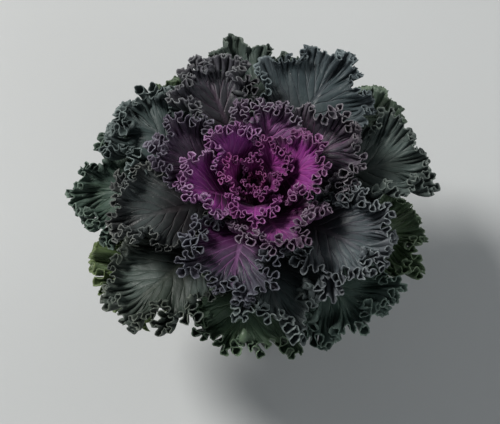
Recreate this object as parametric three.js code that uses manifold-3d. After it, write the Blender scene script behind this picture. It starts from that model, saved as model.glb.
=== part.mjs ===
import * as THREE from "three";
import Module from "manifold-3d";

// ---------------------------------------------------------------------------
// Curly ornamental kale growing in a round nursery pot.
// Millimetres, +Z up, origin at the centre of the pot's flat underside.
// ---------------------------------------------------------------------------

// Pot
const POT_TOP_R = 61.0;        // outside radius of the rolled rim
const POT_BASE_R = 43.0;       // outside radius at the foot
const POT_HEIGHT = 107.0;
const POT_WALL = 1.8;
const POT_BASE_T = 2.4;
const COLLAR_Z = 90.0;         // where the stacking collar steps out
const DRAIN_HOLES = 8;
const DRAIN_RING_R = 31.5;
const DRAIN_HOLE_R = 4.0;
const POT_SEGMENTS = 56;

// Potting soil
const SOIL_GAP = 0.4;          // clearance to the pot and to the stem
const SOIL_EDGE_Z = 91.0;
const SOIL_CROWN_Z = 94.0;

// Stem: radius and height pairs, root end first
const STEM_PROFILE = [
  [4.6, 62.0], [6.6, 74.0], [8.2, 88.0], [8.4, 104.0], [7.8, 120.0],
  [6.2, 136.0], [4.6, 146.0], [2.8, 152.0], [1.2, 153.4],
];
const STEM_TIP_Z = 153.8;

// Leaves, innermost first. One row per leaf:
//   name, azimuth, attachment height, attachment radius,
//   elevation at the base, elevation at the tip, bend exponent, sideways sweep, twist,
//   petiole length, blade length, blade width, petiole width,
//   rib thickness, margin thickness,
//   wrap round the head (0-1), cupping, smallest wrap radius,
//   wave height, waves per margin, wave phase on each side
// Angles are in degrees (wave phases in radians), lengths in millimetres.
const LEAVES = [
  ["heart_leaf_1", 148.8, 150, 4.3, 88.3, 89.5, 1.2, -1.5, 2.6, 2.1, 11.9, 8.4, 3, 1.5, 0.8, 1, 18.4, 5, 0, 1.95, 0.77, -0.82],
  ["heart_leaf_2", 16.6, 148.4, 4.78, 85.6, 88.2, 1.3, 0.7, 0.1, 2.7, 14.8, 13, 3.2, 1.6, 0.83, 1, 20.2, 5.3, 0.17, 1.98, -1.86, 0.34],
  ["heart_leaf_3", 236, 146.8, 5.26, 84.1, 82, 1.4, 1.6, -2.2, 3.5, 18.8, 15.6, 3.3, 1.7, 0.87, 1, 19, 5.7, 0.33, 1.08, 2.49, -0.44],
  ["heart_leaf_4", 101.7, 145.2, 5.63, 82.8, 68.5, 1.5, -2.1, -1.8, 4, 21.1, 17.7, 3.5, 1.8, 0.9, 1, 19.9, 6, 0.5, 1.91, 1.24, -1.01],
  ["heart_leaf_5", 319.1, 143.6, 5.88, 79.9, 57, 1.63, -2, -2.8, 5.6, 28, 24.1, 3.7, 1.93, 0.93, 0.98, 18.7, 6.7, 0.67, 1.31, -1.15, -2.58],
  ["heart_leaf_6", 180.2, 142, 6.14, 78.4, 50, 1.77, 1.1, -1.8, 6.7, 32.1, 25.7, 3.8, 2.07, 0.97, 0.97, 17.1, 7.3, 0.83, 1.9, -2.97, 1.92],
  ["heart_leaf_7", 43.4, 140.4, 6.4, 76, 52.2, 1.9, -0, 2.1, 7.3, 33.2, 30.6, 4, 2.2, 1, 0.95, 14.2, 8, 1, 1.26, 3, 2.77],
  ["rose_leaf_1", 269.4, 138.8, 6.65, 70.1, 29.5, 1.93, -1.9, -0.6, 8.8, 39.1, 34.9, 4.3, 2.3, 1.03, 0.92, 16.5, 8.7, 1.2, 1.74, 0.29, 1.01],
  ["rose_leaf_2", 135.3, 137.2, 6.91, 70.6, 42.7, 1.97, -1.6, -0.3, 10.8, 41, 40.5, 4.5, 2.4, 1.07, 0.88, 16.7, 9.3, 1.4, 1.76, -2.92, -0.88],
  ["rose_leaf_3", 8, 135.6, 7.04, 68.2, 21.2, 2, -1.9, 2.2, 11.1, 47.3, 46, 4.8, 2.5, 1.1, 0.85, 13.5, 10, 1.6, 1.5, -2.65, 0.7],
  ["rose_leaf_4", 199.5, 134, 7.3, 63.8, 26.4, 1.97, -0.8, 0.9, 11.9, 49.8, 46.9, 5, 2.63, 1.13, 0.82, 15, 10.7, 1.8, 1.32, -0.66, 2.59],
  ["rose_leaf_5", 75.9, 132.4, 7.46, 66.5, 16.5, 1.93, 0.9, -2.6, 13.5, 45.3, 47.5, 5.3, 2.77, 1.17, 0.78, 19.1, 11.3, 2, 1.14, -0.22, -2.83],
  ["rose_leaf_6", 290.5, 130.8, 7.62, 60.8, 19.7, 1.9, 1.3, -1.5, 14.9, 53.7, 50.9, 5.5, 2.9, 1.2, 0.75, 19.5, 12, 2.2, 1.5, -1.35, 0.66],
  ["middle_leaf_1", 167, 129.2, 7.68, 58.9, 10.2, 1.8, -4.6, 12, 15.8, 59.3, 53.2, 5.8, 3.05, 1.2, 0.7, 27.3, 13, 2.6, 1.67, 0.12, -1.52],
  ["middle_leaf_2", 25.5, 127.6, 7.84, 58.3, -4.5, 1.7, -7.6, 12, 16.4, 58, 58.5, 6, 3.2, 1.2, 0.65, 36, 14, 3, 1.9, 1.6, -1.26],
  ["middle_leaf_3", 256, 126, 8, 55.8, -4.2, 1.6, 8.3, 7.6, 20, 63.4, 59.8, 6.5, 3.4, 1.25, 0.57, 32.6, 15, 3.4, 1.78, -0.33, 0.41],
  ["middle_leaf_4", 113.1, 124.4, 8.16, 48.6, -9.5, 1.5, -0.1, 15.3, 23.2, 66, 50, 7, 3.6, 1.3, 0.5, 46.5, 16, 3.8, 1.37, -2.57, 0.75],
  ["middle_leaf_5", 325, 122.8, 8.32, 48.6, -8.6, 1.45, -1.9, 1.1, 25.4, 67.4, 60.3, 7.2, 3.7, 1.3, 0.47, 13.2, 17.3, 4.13, 1.51, 2.27, -2.06],
  ["middle_leaf_6", 195.5, 121.2, 8.48, 50.8, -13.5, 1.4, 10.8, 1.4, 26.2, 65.3, 57.9, 7.3, 3.8, 1.3, 0.43, 25.1, 18.7, 4.47, 1.21, 1.34, 0.26],
  ["middle_leaf_7", 57.6, 119.6, 8.62, 47.8, -9.1, 1.35, -2.1, 9.5, 29.8, 69.4, 67.7, 7.5, 3.9, 1.3, 0.4, 9.5, 20, 4.8, 1.16, -0.86, 0.05],
  ["outer_leaf_1", 278.5, 118, 8.58, 44.9, -4.9, 1.31, 2.4, -18.8, 29.1, 59.9, 58.9, 7.6, 3.95, 1.3, 0.38, 24.9, 21, 4.97, 1.87, 2.61, -0.85],
  ["outer_leaf_2", 149.3, 116.4, 8.73, 43.8, -13.9, 1.27, -7.6, 3, 31.3, 65.1, 59.8, 7.8, 4, 1.3, 0.35, 33.2, 22, 5.15, 1.81, 2.61, -0.33],
  ["outer_leaf_3", 11.5, 114.8, 8.69, 41.2, -15.1, 1.24, 3.8, -5.1, 34.8, 68.3, 60, 7.9, 4.05, 1.3, 0.33, 15.8, 23, 5.33, 1.72, -1.1, 1.2],
  ["outer_leaf_4", 227, 113.2, 8.76, 39, -13.2, 1.2, -7.5, 17.5, 37, 68.6, 64.9, 8, 4.1, 1.3, 0.3, 16.6, 24, 5.5, 1.17, 0.59, -0.63],
  ["outer_leaf_5", 87.8, 111.6, 8.82, 38.5, -13.7, 1.18, 8.8, 16.5, 35.3, 63.4, 69.8, 8, 4.12, 1.3, 0.28, 34.7, 25, 5.5, 1.48, 0.15, -0.64],
  ["outer_leaf_6", 310.4, 110, 8.88, 35.7, -23.5, 1.15, -0.7, 8.7, 35.8, 59.8, 64.8, 8, 4.15, 1.3, 0.25, 13, 26, 5.5, 1.66, -2.12, -3.07],
  ["outer_leaf_7", 177.8, 108.4, 8.94, 34.5, -10.8, 1.12, -10.6, -18.9, 38.9, 65.5, 66.8, 8, 4.17, 1.3, 0.23, 4.5, 27, 5.5, 1.07, -2.34, -0.79],
  ["outer_leaf_8", 40.6, 106.8, 8.9, 32.6, -22.7, 1.1, 1.7, -19.9, 39.8, 64.9, 64.8, 8, 4.2, 1.3, 0.2, 6, 28, 5.5, 1.39, -2.82, 0.34],
  ["outer_leaf_9", 265, 105.2, 9.06, 33.3, -15.9, 1.09, -1.3, -11.4, 36.4, 53.6, 65.6, 8, 4.2, 1.3, 0.19, 22.3, 28.5, 5.5, 1.94, 2.02, 2.62],
  ["outer_leaf_10", 120.2, 103.6, 9, 29.7, -17.1, 1.08, -1.4, 0.5, 37.2, 58.2, 67.7, 8, 4.2, 1.3, 0.17, -9.9, 29, 5.5, 1.68, -2.83, -1.58],
  ["outer_leaf_11", 349.3, 102, 9, 27.9, -16.3, 1.06, -5, -18.8, 38.5, 58.9, 61.9, 8, 4.2, 1.3, 0.16, -14.6, 29.5, 5.5, 1.81, -2.37, 2.98],
  ["outer_leaf_12", 208.1, 100.4, 8.9, 26.4, -26.2, 1.05, -8.7, -4.4, 39.6, 59.4, 59.1, 8, 4.2, 1.3, 0.15, -8.1, 30, 5.5, 1.91, -1.38, -1.44],
];

// Colours
const COLOUR = {
  heart: 0x7d1256, rose: 0x8a1a63, middle: 0x4c4a55, outer: 0x43564b,
  stem: 0x6f7f5c, soil: 0x2c2018, pot: 0x1d1e1f,
};

const DEG = Math.PI / 180;
const clamp = (v, a, b) => Math.min(b, Math.max(a, v));

function readLeaf(row) {
  const keys = ["name", "az", "z0", "r0", "e0", "e1", "bend", "sweep", "twist",
    "petiole", "blade", "width", "petioleWidth", "rib", "edge",
    "wrap", "cup", "rMin", "waveH", "waveN", "phA", "phB"];
  return Object.fromEntries(keys.map((k, i) => [k, row[i]]));
}

// Fan-shaped blade outline: 0 at both ends, widest past the middle.
function outline(t) {
  if (t < 0.56) return Math.pow(Math.sin(0.5 * Math.PI * clamp(t / 0.56, 0, 1)), 0.8);
  return Math.sqrt(Math.max(1 - Math.pow(clamp((t - 0.56) / 0.44, 0, 1), 2.3), 0));
}

// Midrib curve in the leaf's own vertical plane.
function midrib(leaf) {
  const n = 60;
  const length = leaf.petiole + leaf.blade;
  const pts = [];
  for (let i = 0; i <= n; i++) {
    const q = i / n;
    const e = (leaf.e0 + (leaf.e1 - leaf.e0) * Math.pow(q, leaf.bend)) * DEG;
    const h = leaf.sweep * DEG * Math.pow(q, 1.5);
    pts.push({ s: q * length, e, h,
      d: [Math.cos(e) * Math.cos(h), Math.cos(e) * Math.sin(h), Math.sin(e)] });
  }
  const ds = length / n;
  pts[0].p = [leaf.r0, 0, leaf.z0];
  for (let i = 1; i <= n; i++) {
    pts[i].p = [0, 1, 2].map((k) => pts[i - 1].p[k] + 0.5 * (pts[i - 1].d[k] + pts[i].d[k]) * ds);
  }
  return pts;
}

function sample(rib, s) {
  const n = rib.length - 1;
  const f = clamp(s / rib[n].s, 0, 1) * n;
  const i = Math.min(Math.floor(f), n - 1);
  const k = f - i;
  const mix = (a, b) => a + (b - a) * k;
  return {
    e: mix(rib[i].e, rib[i + 1].e),
    h: mix(rib[i].h, rib[i + 1].h),
    p: [0, 1, 2].map((c) => mix(rib[i].p[c], rib[i + 1].p[c])),
  };
}

function halfWidth(leaf, s) {
  const t = (s - leaf.petiole) / leaf.blade;
  const wp = leaf.petioleWidth / 2;
  if (t <= 0) return wp * (1 + 0.35 * Math.exp(-s / (0.25 * leaf.petiole)));
  const wb = (leaf.width / 2) * outline(t);
  const w0 = wp * (1 - clamp(t, 0, 1));
  return Math.sqrt(wb * wb + w0 * w0);
}

// Point and normal of the leaf's mid-surface at distance s along the midrib
// and x across it.
function surfacePoint(leaf, rib, s, x) {
  const { e, h, p } = sample(rib, s);
  const q = s / (leaf.petiole + leaf.blade);
  const T = new THREE.Vector3(Math.cos(e) * Math.cos(h), Math.cos(e) * Math.sin(h), Math.sin(e));
  const S = new THREE.Vector3(-Math.sin(h), Math.cos(h), 0);
  const N = new THREE.Vector3().crossVectors(T, S);
  const rho = leaf.twist * DEG * q;
  const Sr = S.clone().multiplyScalar(Math.cos(rho)).addScaledVector(N, Math.sin(rho));
  const Nr = N.clone().multiplyScalar(Math.cos(rho)).addScaledVector(S, -Math.sin(rho));
  const r = Math.hypot(p[0], p[1]);
  let k = leaf.wrap * Math.sin(e) / Math.max(r, leaf.rMin) + leaf.cup * DEG / leaf.width;
  if (Math.abs(k) < 1e-5) k = 1e-5;
  const X = Math.sin(k * x) / k;
  let Z = (1 - Math.cos(k * x)) / k;
  const m = Math.pow(clamp(Math.abs(x) / (leaf.width / 2), 0, 1.2), 2.2);
  const t = clamp((s - leaf.petiole) / leaf.blade, 0, 1);
  const phase = x >= 0 ? leaf.phA : leaf.phB;
  Z += leaf.waveH * m * Math.sin(2 * Math.PI * leaf.waveN * t + phase) * Math.sin(Math.PI * t);
  const P = new THREE.Vector3(...p).addScaledVector(Sr, X).addScaledVector(Nr, Z);
  const M = Nr.clone().multiplyScalar(Math.cos(k * x)).addScaledVector(Sr, -Math.sin(k * x));
  const up = new THREE.Vector3(0, 0, 1);
  return { P: P.applyAxisAngle(up, leaf.az * DEG), N: M.applyAxisAngle(up, leaf.az * DEG) };
}

// Leaf solid: a thin sheet with a thick petiole and a rib that tapers to the tip.
function leafGeometry(leaf) {
  const big = leaf.width > 44;
  const rows = big ? [0, 0.12, 0.3, 0.5, 0.68, 0.84, 0.95, 0.99] : [0, 0.25, 0.5, 0.75, 0.93, 0.985];
  const cols = big ? [-1, -0.66, -0.33, 0, 0.33, 0.66, 1] : [-1, -0.5, 0, 0.5, 1];
  const stations = [0, ...(big ? [leaf.petiole * 0.55] : []), ...rows.map((t) => leaf.petiole + leaf.blade * t)];
  const rib = midrib(leaf);
  const nr = stations.length, nc = cols.length;
  const top = [], bottom = [];
  for (const s of stations) {
    const w = halfWidth(leaf, s);
    const q = s / (leaf.petiole + leaf.blade);
    const ribT = leaf.rib * (1 - 0.75 * q);
    const petiole = clamp(1 - (s - leaf.petiole) / (0.18 * leaf.blade), 0, 1);
    for (const c of cols) {
      const x = w * c;
      const { P, N } = surfacePoint(leaf, rib, s, x);
      const profile = Math.max(Math.exp(-Math.pow(x / (leaf.petioleWidth * 0.55), 2)), 0.75 * petiole);
      const thick = leaf.edge + (ribT - leaf.edge) * profile;
      top.push(P.clone().addScaledVector(N, leaf.edge * 0.5));
      bottom.push(P.clone().addScaledVector(N, -(thick - leaf.edge * 0.5)));
    }
  }
  const position = new Float32Array([...top, ...bottom].flatMap((v) => [v.x, v.y, v.z]));
  const index = [];
  const at = (i, j) => i * nc + j;
  const off = nr * nc;
  for (let i = 0; i < nr - 1; i++) {
    for (let j = 0; j < nc - 1; j++) {
      const a = at(i, j), b = at(i, j + 1), c = at(i + 1, j + 1), d = at(i + 1, j);
      index.push(a, d, b, b, d, c);
      index.push(a + off, b + off, d + off, b + off, c + off, d + off);
    }
  }
  const loop = [];
  for (let j = 0; j < nc; j++) loop.push(at(0, j));
  for (let i = 1; i < nr; i++) loop.push(at(i, nc - 1));
  for (let j = nc - 2; j >= 0; j--) loop.push(at(nr - 1, j));
  for (let i = nr - 2; i >= 0; i--) loop.push(at(i, 0));
  for (let k = 0; k < loop.length - 1; k++) {
    const u = loop[k], v = loop[k + 1];
    index.push(u, v, v + off, u, v + off, u + off);
  }
  const geometry = new THREE.BufferGeometry();
  geometry.setAttribute("position", new THREE.BufferAttribute(position, 3));
  geometry.setIndex(index);
  geometry.computeVertexNormals();
  return geometry;
}

// Body of revolution about Z from [radius, height] points that start and end on the axis.
function lathe(points, segments) {
  const geometry = new THREE.LatheGeometry(points.map(([r, z]) => new THREE.Vector2(r, z)), segments);
  geometry.rotateX(Math.PI / 2);
  return geometry;
}

const wasm = await Module();
wasm.setup();

function toManifold(geometry) {
  const pos = geometry.getAttribute("position");
  const idx = geometry.getIndex();
  const seen = new Map();
  const verts = [];
  const remap = [];
  for (let i = 0; i < pos.count; i++) {
    const v = [pos.getX(i), pos.getY(i), pos.getZ(i)];
    const key = v.map((c) => Math.round(c * 1e4)).join();
    if (!seen.has(key)) {
      seen.set(key, verts.length / 3);
      verts.push(...v);
    }
    remap.push(seen.get(key));
  }
  const tris = [];
  for (let i = 0; i < idx.count; i += 3) {
    const t = [remap[idx.getX(i)], remap[idx.getX(i + 1)], remap[idx.getX(i + 2)]];
    if (t[0] !== t[1] && t[1] !== t[2] && t[2] !== t[0]) tris.push(...t);
  }
  const make = (list) => new wasm.Manifold(new wasm.Mesh({
    numProp: 3, vertProperties: new Float32Array(verts), triVerts: new Uint32Array(list) }));
  let solid = make(tris);
  if (solid.volume() < 0) {
    const flipped = [];
    for (let i = 0; i < tris.length; i += 3) flipped.push(tris[i], tris[i + 2], tris[i + 1]);
    solid = make(flipped);
  }
  return solid;
}

function fromManifold(solid) {
  const mesh = solid.getMesh();
  const geometry = new THREE.BufferGeometry();
  geometry.setAttribute("position", new THREE.BufferAttribute(new Float32Array(mesh.vertProperties), 3));
  geometry.setIndex(Array.from(mesh.triVerts));
  geometry.computeVertexNormals();
  return geometry;
}

// Outside radius of the pot's tapered wall at height z.
const potWallR = (z) => POT_BASE_R + (z / COLLAR_Z) * (56.4 - POT_BASE_R);

function potGeometry() {
  const t = POT_WALL;
  const wall = lathe([
    [0, 0], [POT_BASE_R - 1.2, 0], [POT_BASE_R, 1.2],
    [potWallR(COLLAR_Z - 1), COLLAR_Z - 1], [57.8, COLLAR_Z + 0.6],
    [58.6, POT_HEIGHT - 4.2], [60.4, POT_HEIGHT - 3.9], [POT_TOP_R, POT_HEIGHT - 3.0],
    [POT_TOP_R, POT_HEIGHT - 0.9], [60.3, POT_HEIGHT], [57.8, POT_HEIGHT],
    [57.0, POT_HEIGHT - 0.9], [56.1, COLLAR_Z + 1.6], [potWallR(COLLAR_Z - 1) - t, COLLAR_Z - 1.2],
    [potWallR(POT_BASE_T + 1.2) - t, POT_BASE_T + 1.2], [POT_BASE_R - t - 1.2, POT_BASE_T],
    [0, POT_BASE_T],
  ], POT_SEGMENTS);
  let pot = toManifold(wall);
  for (let i = 0; i < DRAIN_HOLES; i++) {
    const a = (i + 0.5) * 2 * Math.PI / DRAIN_HOLES;
    const drill = new THREE.CylinderGeometry(DRAIN_HOLE_R, DRAIN_HOLE_R, POT_BASE_T + 4, 18);
    drill.rotateX(Math.PI / 2);
    drill.translate(DRAIN_RING_R * Math.cos(a), DRAIN_RING_R * Math.sin(a), POT_BASE_T / 2);
    pot = pot.subtract(toManifold(drill));
  }
  return fromManifold(pot);
}

function soilGeometry() {
  const g = SOIL_GAP;
  const t = POT_WALL;
  const hole = STEM_PROFILE.filter(([, z]) => z < SOIL_CROWN_Z).map(([r, z]) => [r + g, z]).reverse();
  const soil = lathe([
    [0, POT_BASE_T + g], [POT_BASE_R - t - 1.2 - g, POT_BASE_T + g],
    [potWallR(POT_BASE_T + 1.2) - t - g, POT_BASE_T + 1.2 + g],
    [potWallR(COLLAR_Z - 1) - t - g, COLLAR_Z - 1.2],
    [55.2, SOIL_EDGE_Z], [48, SOIL_EDGE_Z + 1.2], [34, SOIL_CROWN_Z - 0.7], [20, SOIL_CROWN_Z],
    [8.4 + g + 0.6, SOIL_CROWN_Z - 0.2], ...hole, [4.0, 61.4], [0, 61.4],
  ], 40);
  return fromManifold(toManifold(soil));
}

function stemGeometry() {
  return fromManifold(toManifold(lathe([[0, 62.0], ...STEM_PROFILE, [0, STEM_TIP_Z]], 20)));
}

function material(colour, roughness) {
  return new THREE.MeshStandardMaterial({ color: colour, roughness, metalness: 0 });
}

const MATERIALS = {
  heart: material(COLOUR.heart, 0.55),
  rose: material(COLOUR.rose, 0.55),
  middle: material(COLOUR.middle, 0.6),
  outer: material(COLOUR.outer, 0.6),
  stem: material(COLOUR.stem, 0.7),
  soil: material(COLOUR.soil, 0.95),
  pot: material(COLOUR.pot, 0.5),
};

const kale = new THREE.Group();
kale.name = "ornamental_kale";

function add(name, geometry, mat) {
  const mesh = new THREE.Mesh(geometry, mat);
  mesh.name = name;
  kale.add(mesh);
}

add("pot", potGeometry(), MATERIALS.pot);
add("potting_soil", soilGeometry(), MATERIALS.soil);
add("stem", stemGeometry(), MATERIALS.stem);
for (const row of LEAVES) {
  const leaf = readLeaf(row);
  add(leaf.name, leafGeometry(leaf), MATERIALS[leaf.name.split("_")[0]]);
}

export default kale;
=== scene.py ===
import math
import bmesh
import bpy
import numpy as np
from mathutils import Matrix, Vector
from mathutils.bvhtree import BVHTree


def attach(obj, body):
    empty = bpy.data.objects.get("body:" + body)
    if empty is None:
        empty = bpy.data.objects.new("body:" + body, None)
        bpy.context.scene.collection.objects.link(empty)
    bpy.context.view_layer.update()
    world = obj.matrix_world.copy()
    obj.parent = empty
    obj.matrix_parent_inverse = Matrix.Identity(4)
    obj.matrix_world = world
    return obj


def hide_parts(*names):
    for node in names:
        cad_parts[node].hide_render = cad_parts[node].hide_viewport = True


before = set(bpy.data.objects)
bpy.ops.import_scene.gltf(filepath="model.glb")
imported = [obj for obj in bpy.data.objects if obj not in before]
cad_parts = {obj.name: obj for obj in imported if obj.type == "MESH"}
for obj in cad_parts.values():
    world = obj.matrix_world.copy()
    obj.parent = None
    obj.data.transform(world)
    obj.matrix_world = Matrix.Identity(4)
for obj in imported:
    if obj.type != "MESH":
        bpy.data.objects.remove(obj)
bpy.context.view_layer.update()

DEG = math.pi / 180

# ---------------------------------------------------------------------------
# The leaves, innermost first, in millimetres and degrees (as in the CAD):
# name, azimuth, attachment height and radius, elevation at base and tip, bend,
# sweep, twist, stalk, blade, width, stalk width, rib, edge,
# wrap, cup, smallest wrap radius, wave height, waves, phase a, phase b
# ---------------------------------------------------------------------------
LEAVES = [
    ["heart_leaf_1", 148.8, 150.0, 4.3, 88.3, 89.5, 1.2, -1.5, 2.6, 2.1, 11.9, 8.4, 3.0, 1.5, 0.8, 1.0, 18.4, 5.0, 0.0, 1.95, 0.77, -0.82],
    ["heart_leaf_2", 16.6, 148.4, 4.78, 85.6, 88.2, 1.3, 0.7, 0.1, 2.7, 14.8, 13.0, 3.2, 1.6, 0.83, 1.0, 20.2, 5.3, 0.17, 1.98, -1.86, 0.34],
    ["heart_leaf_3", 236.0, 146.8, 5.26, 84.1, 82.0, 1.4, 1.6, -2.2, 3.5, 18.8, 15.6, 3.3, 1.7, 0.87, 1.0, 19.0, 5.7, 0.33, 1.08, 2.49, -0.44],
    ["heart_leaf_4", 101.7, 145.2, 5.63, 82.8, 68.5, 1.5, -2.1, -1.8, 4.0, 21.1, 17.7, 3.5, 1.8, 0.9, 1.0, 19.9, 6.0, 0.5, 1.91, 1.24, -1.01],
    ["heart_leaf_5", 319.1, 143.6, 5.88, 79.9, 57.0, 1.63, -2.0, -2.8, 5.6, 28.0, 24.1, 3.7, 1.93, 0.93, 0.98, 18.7, 6.7, 0.67, 1.31, -1.15, -2.58],
    ["heart_leaf_6", 180.2, 142.0, 6.14, 78.4, 50.0, 1.77, 1.1, -1.8, 6.7, 32.1, 25.7, 3.8, 2.07, 0.97, 0.97, 17.1, 7.3, 0.83, 1.9, -2.97, 1.92],
    ["heart_leaf_7", 43.4, 140.4, 6.4, 76.0, 52.2, 1.9, -0.0, 2.1, 7.3, 33.2, 30.6, 4.0, 2.2, 1.0, 0.95, 14.2, 8.0, 1.0, 1.26, 3.0, 2.77],
    ["rose_leaf_1", 269.4, 138.8, 6.65, 70.1, 29.5, 1.93, -1.9, -0.6, 8.8, 39.1, 34.9, 4.3, 2.3, 1.03, 0.92, 16.5, 8.7, 1.2, 1.74, 0.29, 1.01],
    ["rose_leaf_2", 135.3, 137.2, 6.91, 70.6, 42.7, 1.97, -1.6, -0.3, 10.8, 41.0, 40.5, 4.5, 2.4, 1.07, 0.88, 16.7, 9.3, 1.4, 1.76, -2.92, -0.88],
    ["rose_leaf_3", 8.0, 135.6, 7.04, 68.2, 21.2, 2.0, -1.9, 2.2, 11.1, 47.3, 46.0, 4.8, 2.5, 1.1, 0.85, 13.5, 10.0, 1.6, 1.5, -2.65, 0.7],
    ["rose_leaf_4", 199.5, 134.0, 7.3, 63.8, 26.4, 1.97, -0.8, 0.9, 11.9, 49.8, 46.9, 5.0, 2.63, 1.13, 0.82, 15.0, 10.7, 1.8, 1.32, -0.66, 2.59],
    ["rose_leaf_5", 75.9, 132.4, 7.46, 66.5, 16.5, 1.93, 0.9, -2.6, 13.5, 45.3, 47.5, 5.3, 2.77, 1.17, 0.78, 19.1, 11.3, 2.0, 1.14, -0.22, -2.83],
    ["rose_leaf_6", 290.5, 130.8, 7.62, 60.8, 19.7, 1.9, 1.3, -1.5, 14.9, 53.7, 50.9, 5.5, 2.9, 1.2, 0.75, 19.5, 12.0, 2.2, 1.5, -1.35, 0.66],
    ["middle_leaf_1", 167.0, 129.2, 7.68, 58.9, 10.2, 1.8, -4.6, 12.0, 15.8, 59.3, 53.2, 5.8, 3.05, 1.2, 0.7, 27.3, 13.0, 2.6, 1.67, 0.12, -1.52],
    ["middle_leaf_2", 25.5, 127.6, 7.84, 58.3, -4.5, 1.7, -7.6, 12.0, 16.4, 58.0, 58.5, 6.0, 3.2, 1.2, 0.65, 36.0, 14.0, 3.0, 1.9, 1.6, -1.26],
    ["middle_leaf_3", 256.0, 126.0, 8.0, 55.8, -4.2, 1.6, 8.3, 7.6, 20.0, 63.4, 59.8, 6.5, 3.4, 1.25, 0.57, 32.6, 15.0, 3.4, 1.78, -0.33, 0.41],
    ["middle_leaf_4", 113.1, 124.4, 8.16, 48.6, -9.5, 1.5, -0.1, 15.3, 23.2, 66.0, 50.0, 7.0, 3.6, 1.3, 0.5, 46.5, 16.0, 3.8, 1.37, -2.57, 0.75],
    ["middle_leaf_5", 325.0, 122.8, 8.32, 48.6, -8.6, 1.45, -1.9, 1.1, 25.4, 67.4, 60.3, 7.2, 3.7, 1.3, 0.47, 13.2, 17.3, 4.13, 1.51, 2.27, -2.06],
    ["middle_leaf_6", 195.5, 121.2, 8.48, 50.8, -13.5, 1.4, 10.8, 1.4, 26.2, 65.3, 57.9, 7.3, 3.8, 1.3, 0.43, 25.1, 18.7, 4.47, 1.21, 1.34, 0.26],
    ["middle_leaf_7", 57.6, 119.6, 8.62, 47.8, -9.1, 1.35, -2.1, 9.5, 29.8, 69.4, 67.7, 7.5, 3.9, 1.3, 0.4, 9.5, 20.0, 4.8, 1.16, -0.86, 0.05],
    ["outer_leaf_1", 278.5, 118.0, 8.58, 44.9, -4.9, 1.31, 2.4, -18.8, 29.1, 59.9, 58.9, 7.6, 3.95, 1.3, 0.38, 24.9, 21.0, 4.97, 1.87, 2.61, -0.85],
    ["outer_leaf_2", 149.3, 116.4, 8.73, 43.8, -13.9, 1.27, -7.6, 3.0, 31.3, 65.1, 59.8, 7.8, 4.0, 1.3, 0.35, 33.2, 22.0, 5.15, 1.81, 2.61, -0.33],
    ["outer_leaf_3", 11.5, 114.8, 8.69, 41.2, -15.1, 1.24, 3.8, -5.1, 34.8, 68.3, 60.0, 7.9, 4.05, 1.3, 0.33, 15.8, 23.0, 5.33, 1.72, -1.1, 1.2],
    ["outer_leaf_4", 227.0, 113.2, 8.76, 39.0, -13.2, 1.2, -7.5, 17.5, 37.0, 68.6, 64.9, 8.0, 4.1, 1.3, 0.3, 16.6, 24.0, 5.5, 1.17, 0.59, -0.63],
    ["outer_leaf_5", 87.8, 111.6, 8.82, 38.5, -13.7, 1.18, 8.8, 16.5, 35.3, 63.4, 69.8, 8.0, 4.12, 1.3, 0.28, 34.7, 25.0, 5.5, 1.48, 0.15, -0.64],
    ["outer_leaf_6", 310.4, 110.0, 8.88, 35.7, -23.5, 1.15, -0.7, 8.7, 35.8, 59.8, 64.8, 8.0, 4.15, 1.3, 0.25, 13.0, 26.0, 5.5, 1.66, -2.12, -3.07],
    ["outer_leaf_7", 177.8, 108.4, 8.94, 34.5, -10.8, 1.12, -10.6, -18.9, 38.9, 65.5, 66.8, 8.0, 4.17, 1.3, 0.23, 4.5, 27.0, 5.5, 1.07, -2.34, -0.79],
    ["outer_leaf_8", 40.6, 106.8, 8.9, 32.6, -22.7, 1.1, 1.7, -19.9, 39.8, 64.9, 64.8, 8.0, 4.2, 1.3, 0.2, 6.0, 28.0, 5.5, 1.39, -2.82, 0.34],
    ["outer_leaf_9", 265.0, 105.2, 9.06, 33.3, -15.9, 1.09, -1.3, -11.4, 36.4, 53.6, 65.6, 8.0, 4.2, 1.3, 0.19, 22.3, 28.5, 5.5, 1.94, 2.02, 2.62],
    ["outer_leaf_10", 120.2, 103.6, 9.0, 29.7, -17.1, 1.08, -1.4, 0.5, 37.2, 58.2, 67.7, 8.0, 4.2, 1.3, 0.17, -9.9, 29.0, 5.5, 1.68, -2.83, -1.58],
    ["outer_leaf_11", 349.3, 102.0, 9.0, 27.9, -16.3, 1.06, -5.0, -18.8, 38.5, 58.9, 61.9, 8.0, 4.2, 1.3, 0.16, -14.6, 29.5, 5.5, 1.81, -2.37, 2.98],
    ["outer_leaf_12", 208.1, 100.4, 8.9, 26.4, -26.2, 1.05, -8.7, -4.4, 39.6, 59.4, 59.1, 8.0, 4.2, 1.3, 0.15, -8.1, 30.0, 5.5, 1.91, -1.38, -1.44],
]

KEYS = ["name", "az", "z0", "r0", "e0", "e1", "bp", "yaw", "roll", "lp", "lb", "w", "wp",
        "tr", "te", "conc", "cup", "rmin", "wa", "wk", "ph1", "ph2"]


# ---------------------------------------------------------------------------
# Leaf base surface
# ---------------------------------------------------------------------------
def outline(t):
    """Fan-shaped blade: half width as a share of the widest, t from the stalk to the tip."""
    t = np.clip(t, 0, 1)
    rise = np.power(np.sin(0.5 * np.pi * np.clip(t / 0.56, 0, 1)), 0.8)
    tip = np.power(np.clip(1 - np.power(np.clip((t - 0.56) / 0.44, 0, 1), 2.3), 0, None), 0.5)
    return np.where(t < 0.56, rise, tip)


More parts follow.
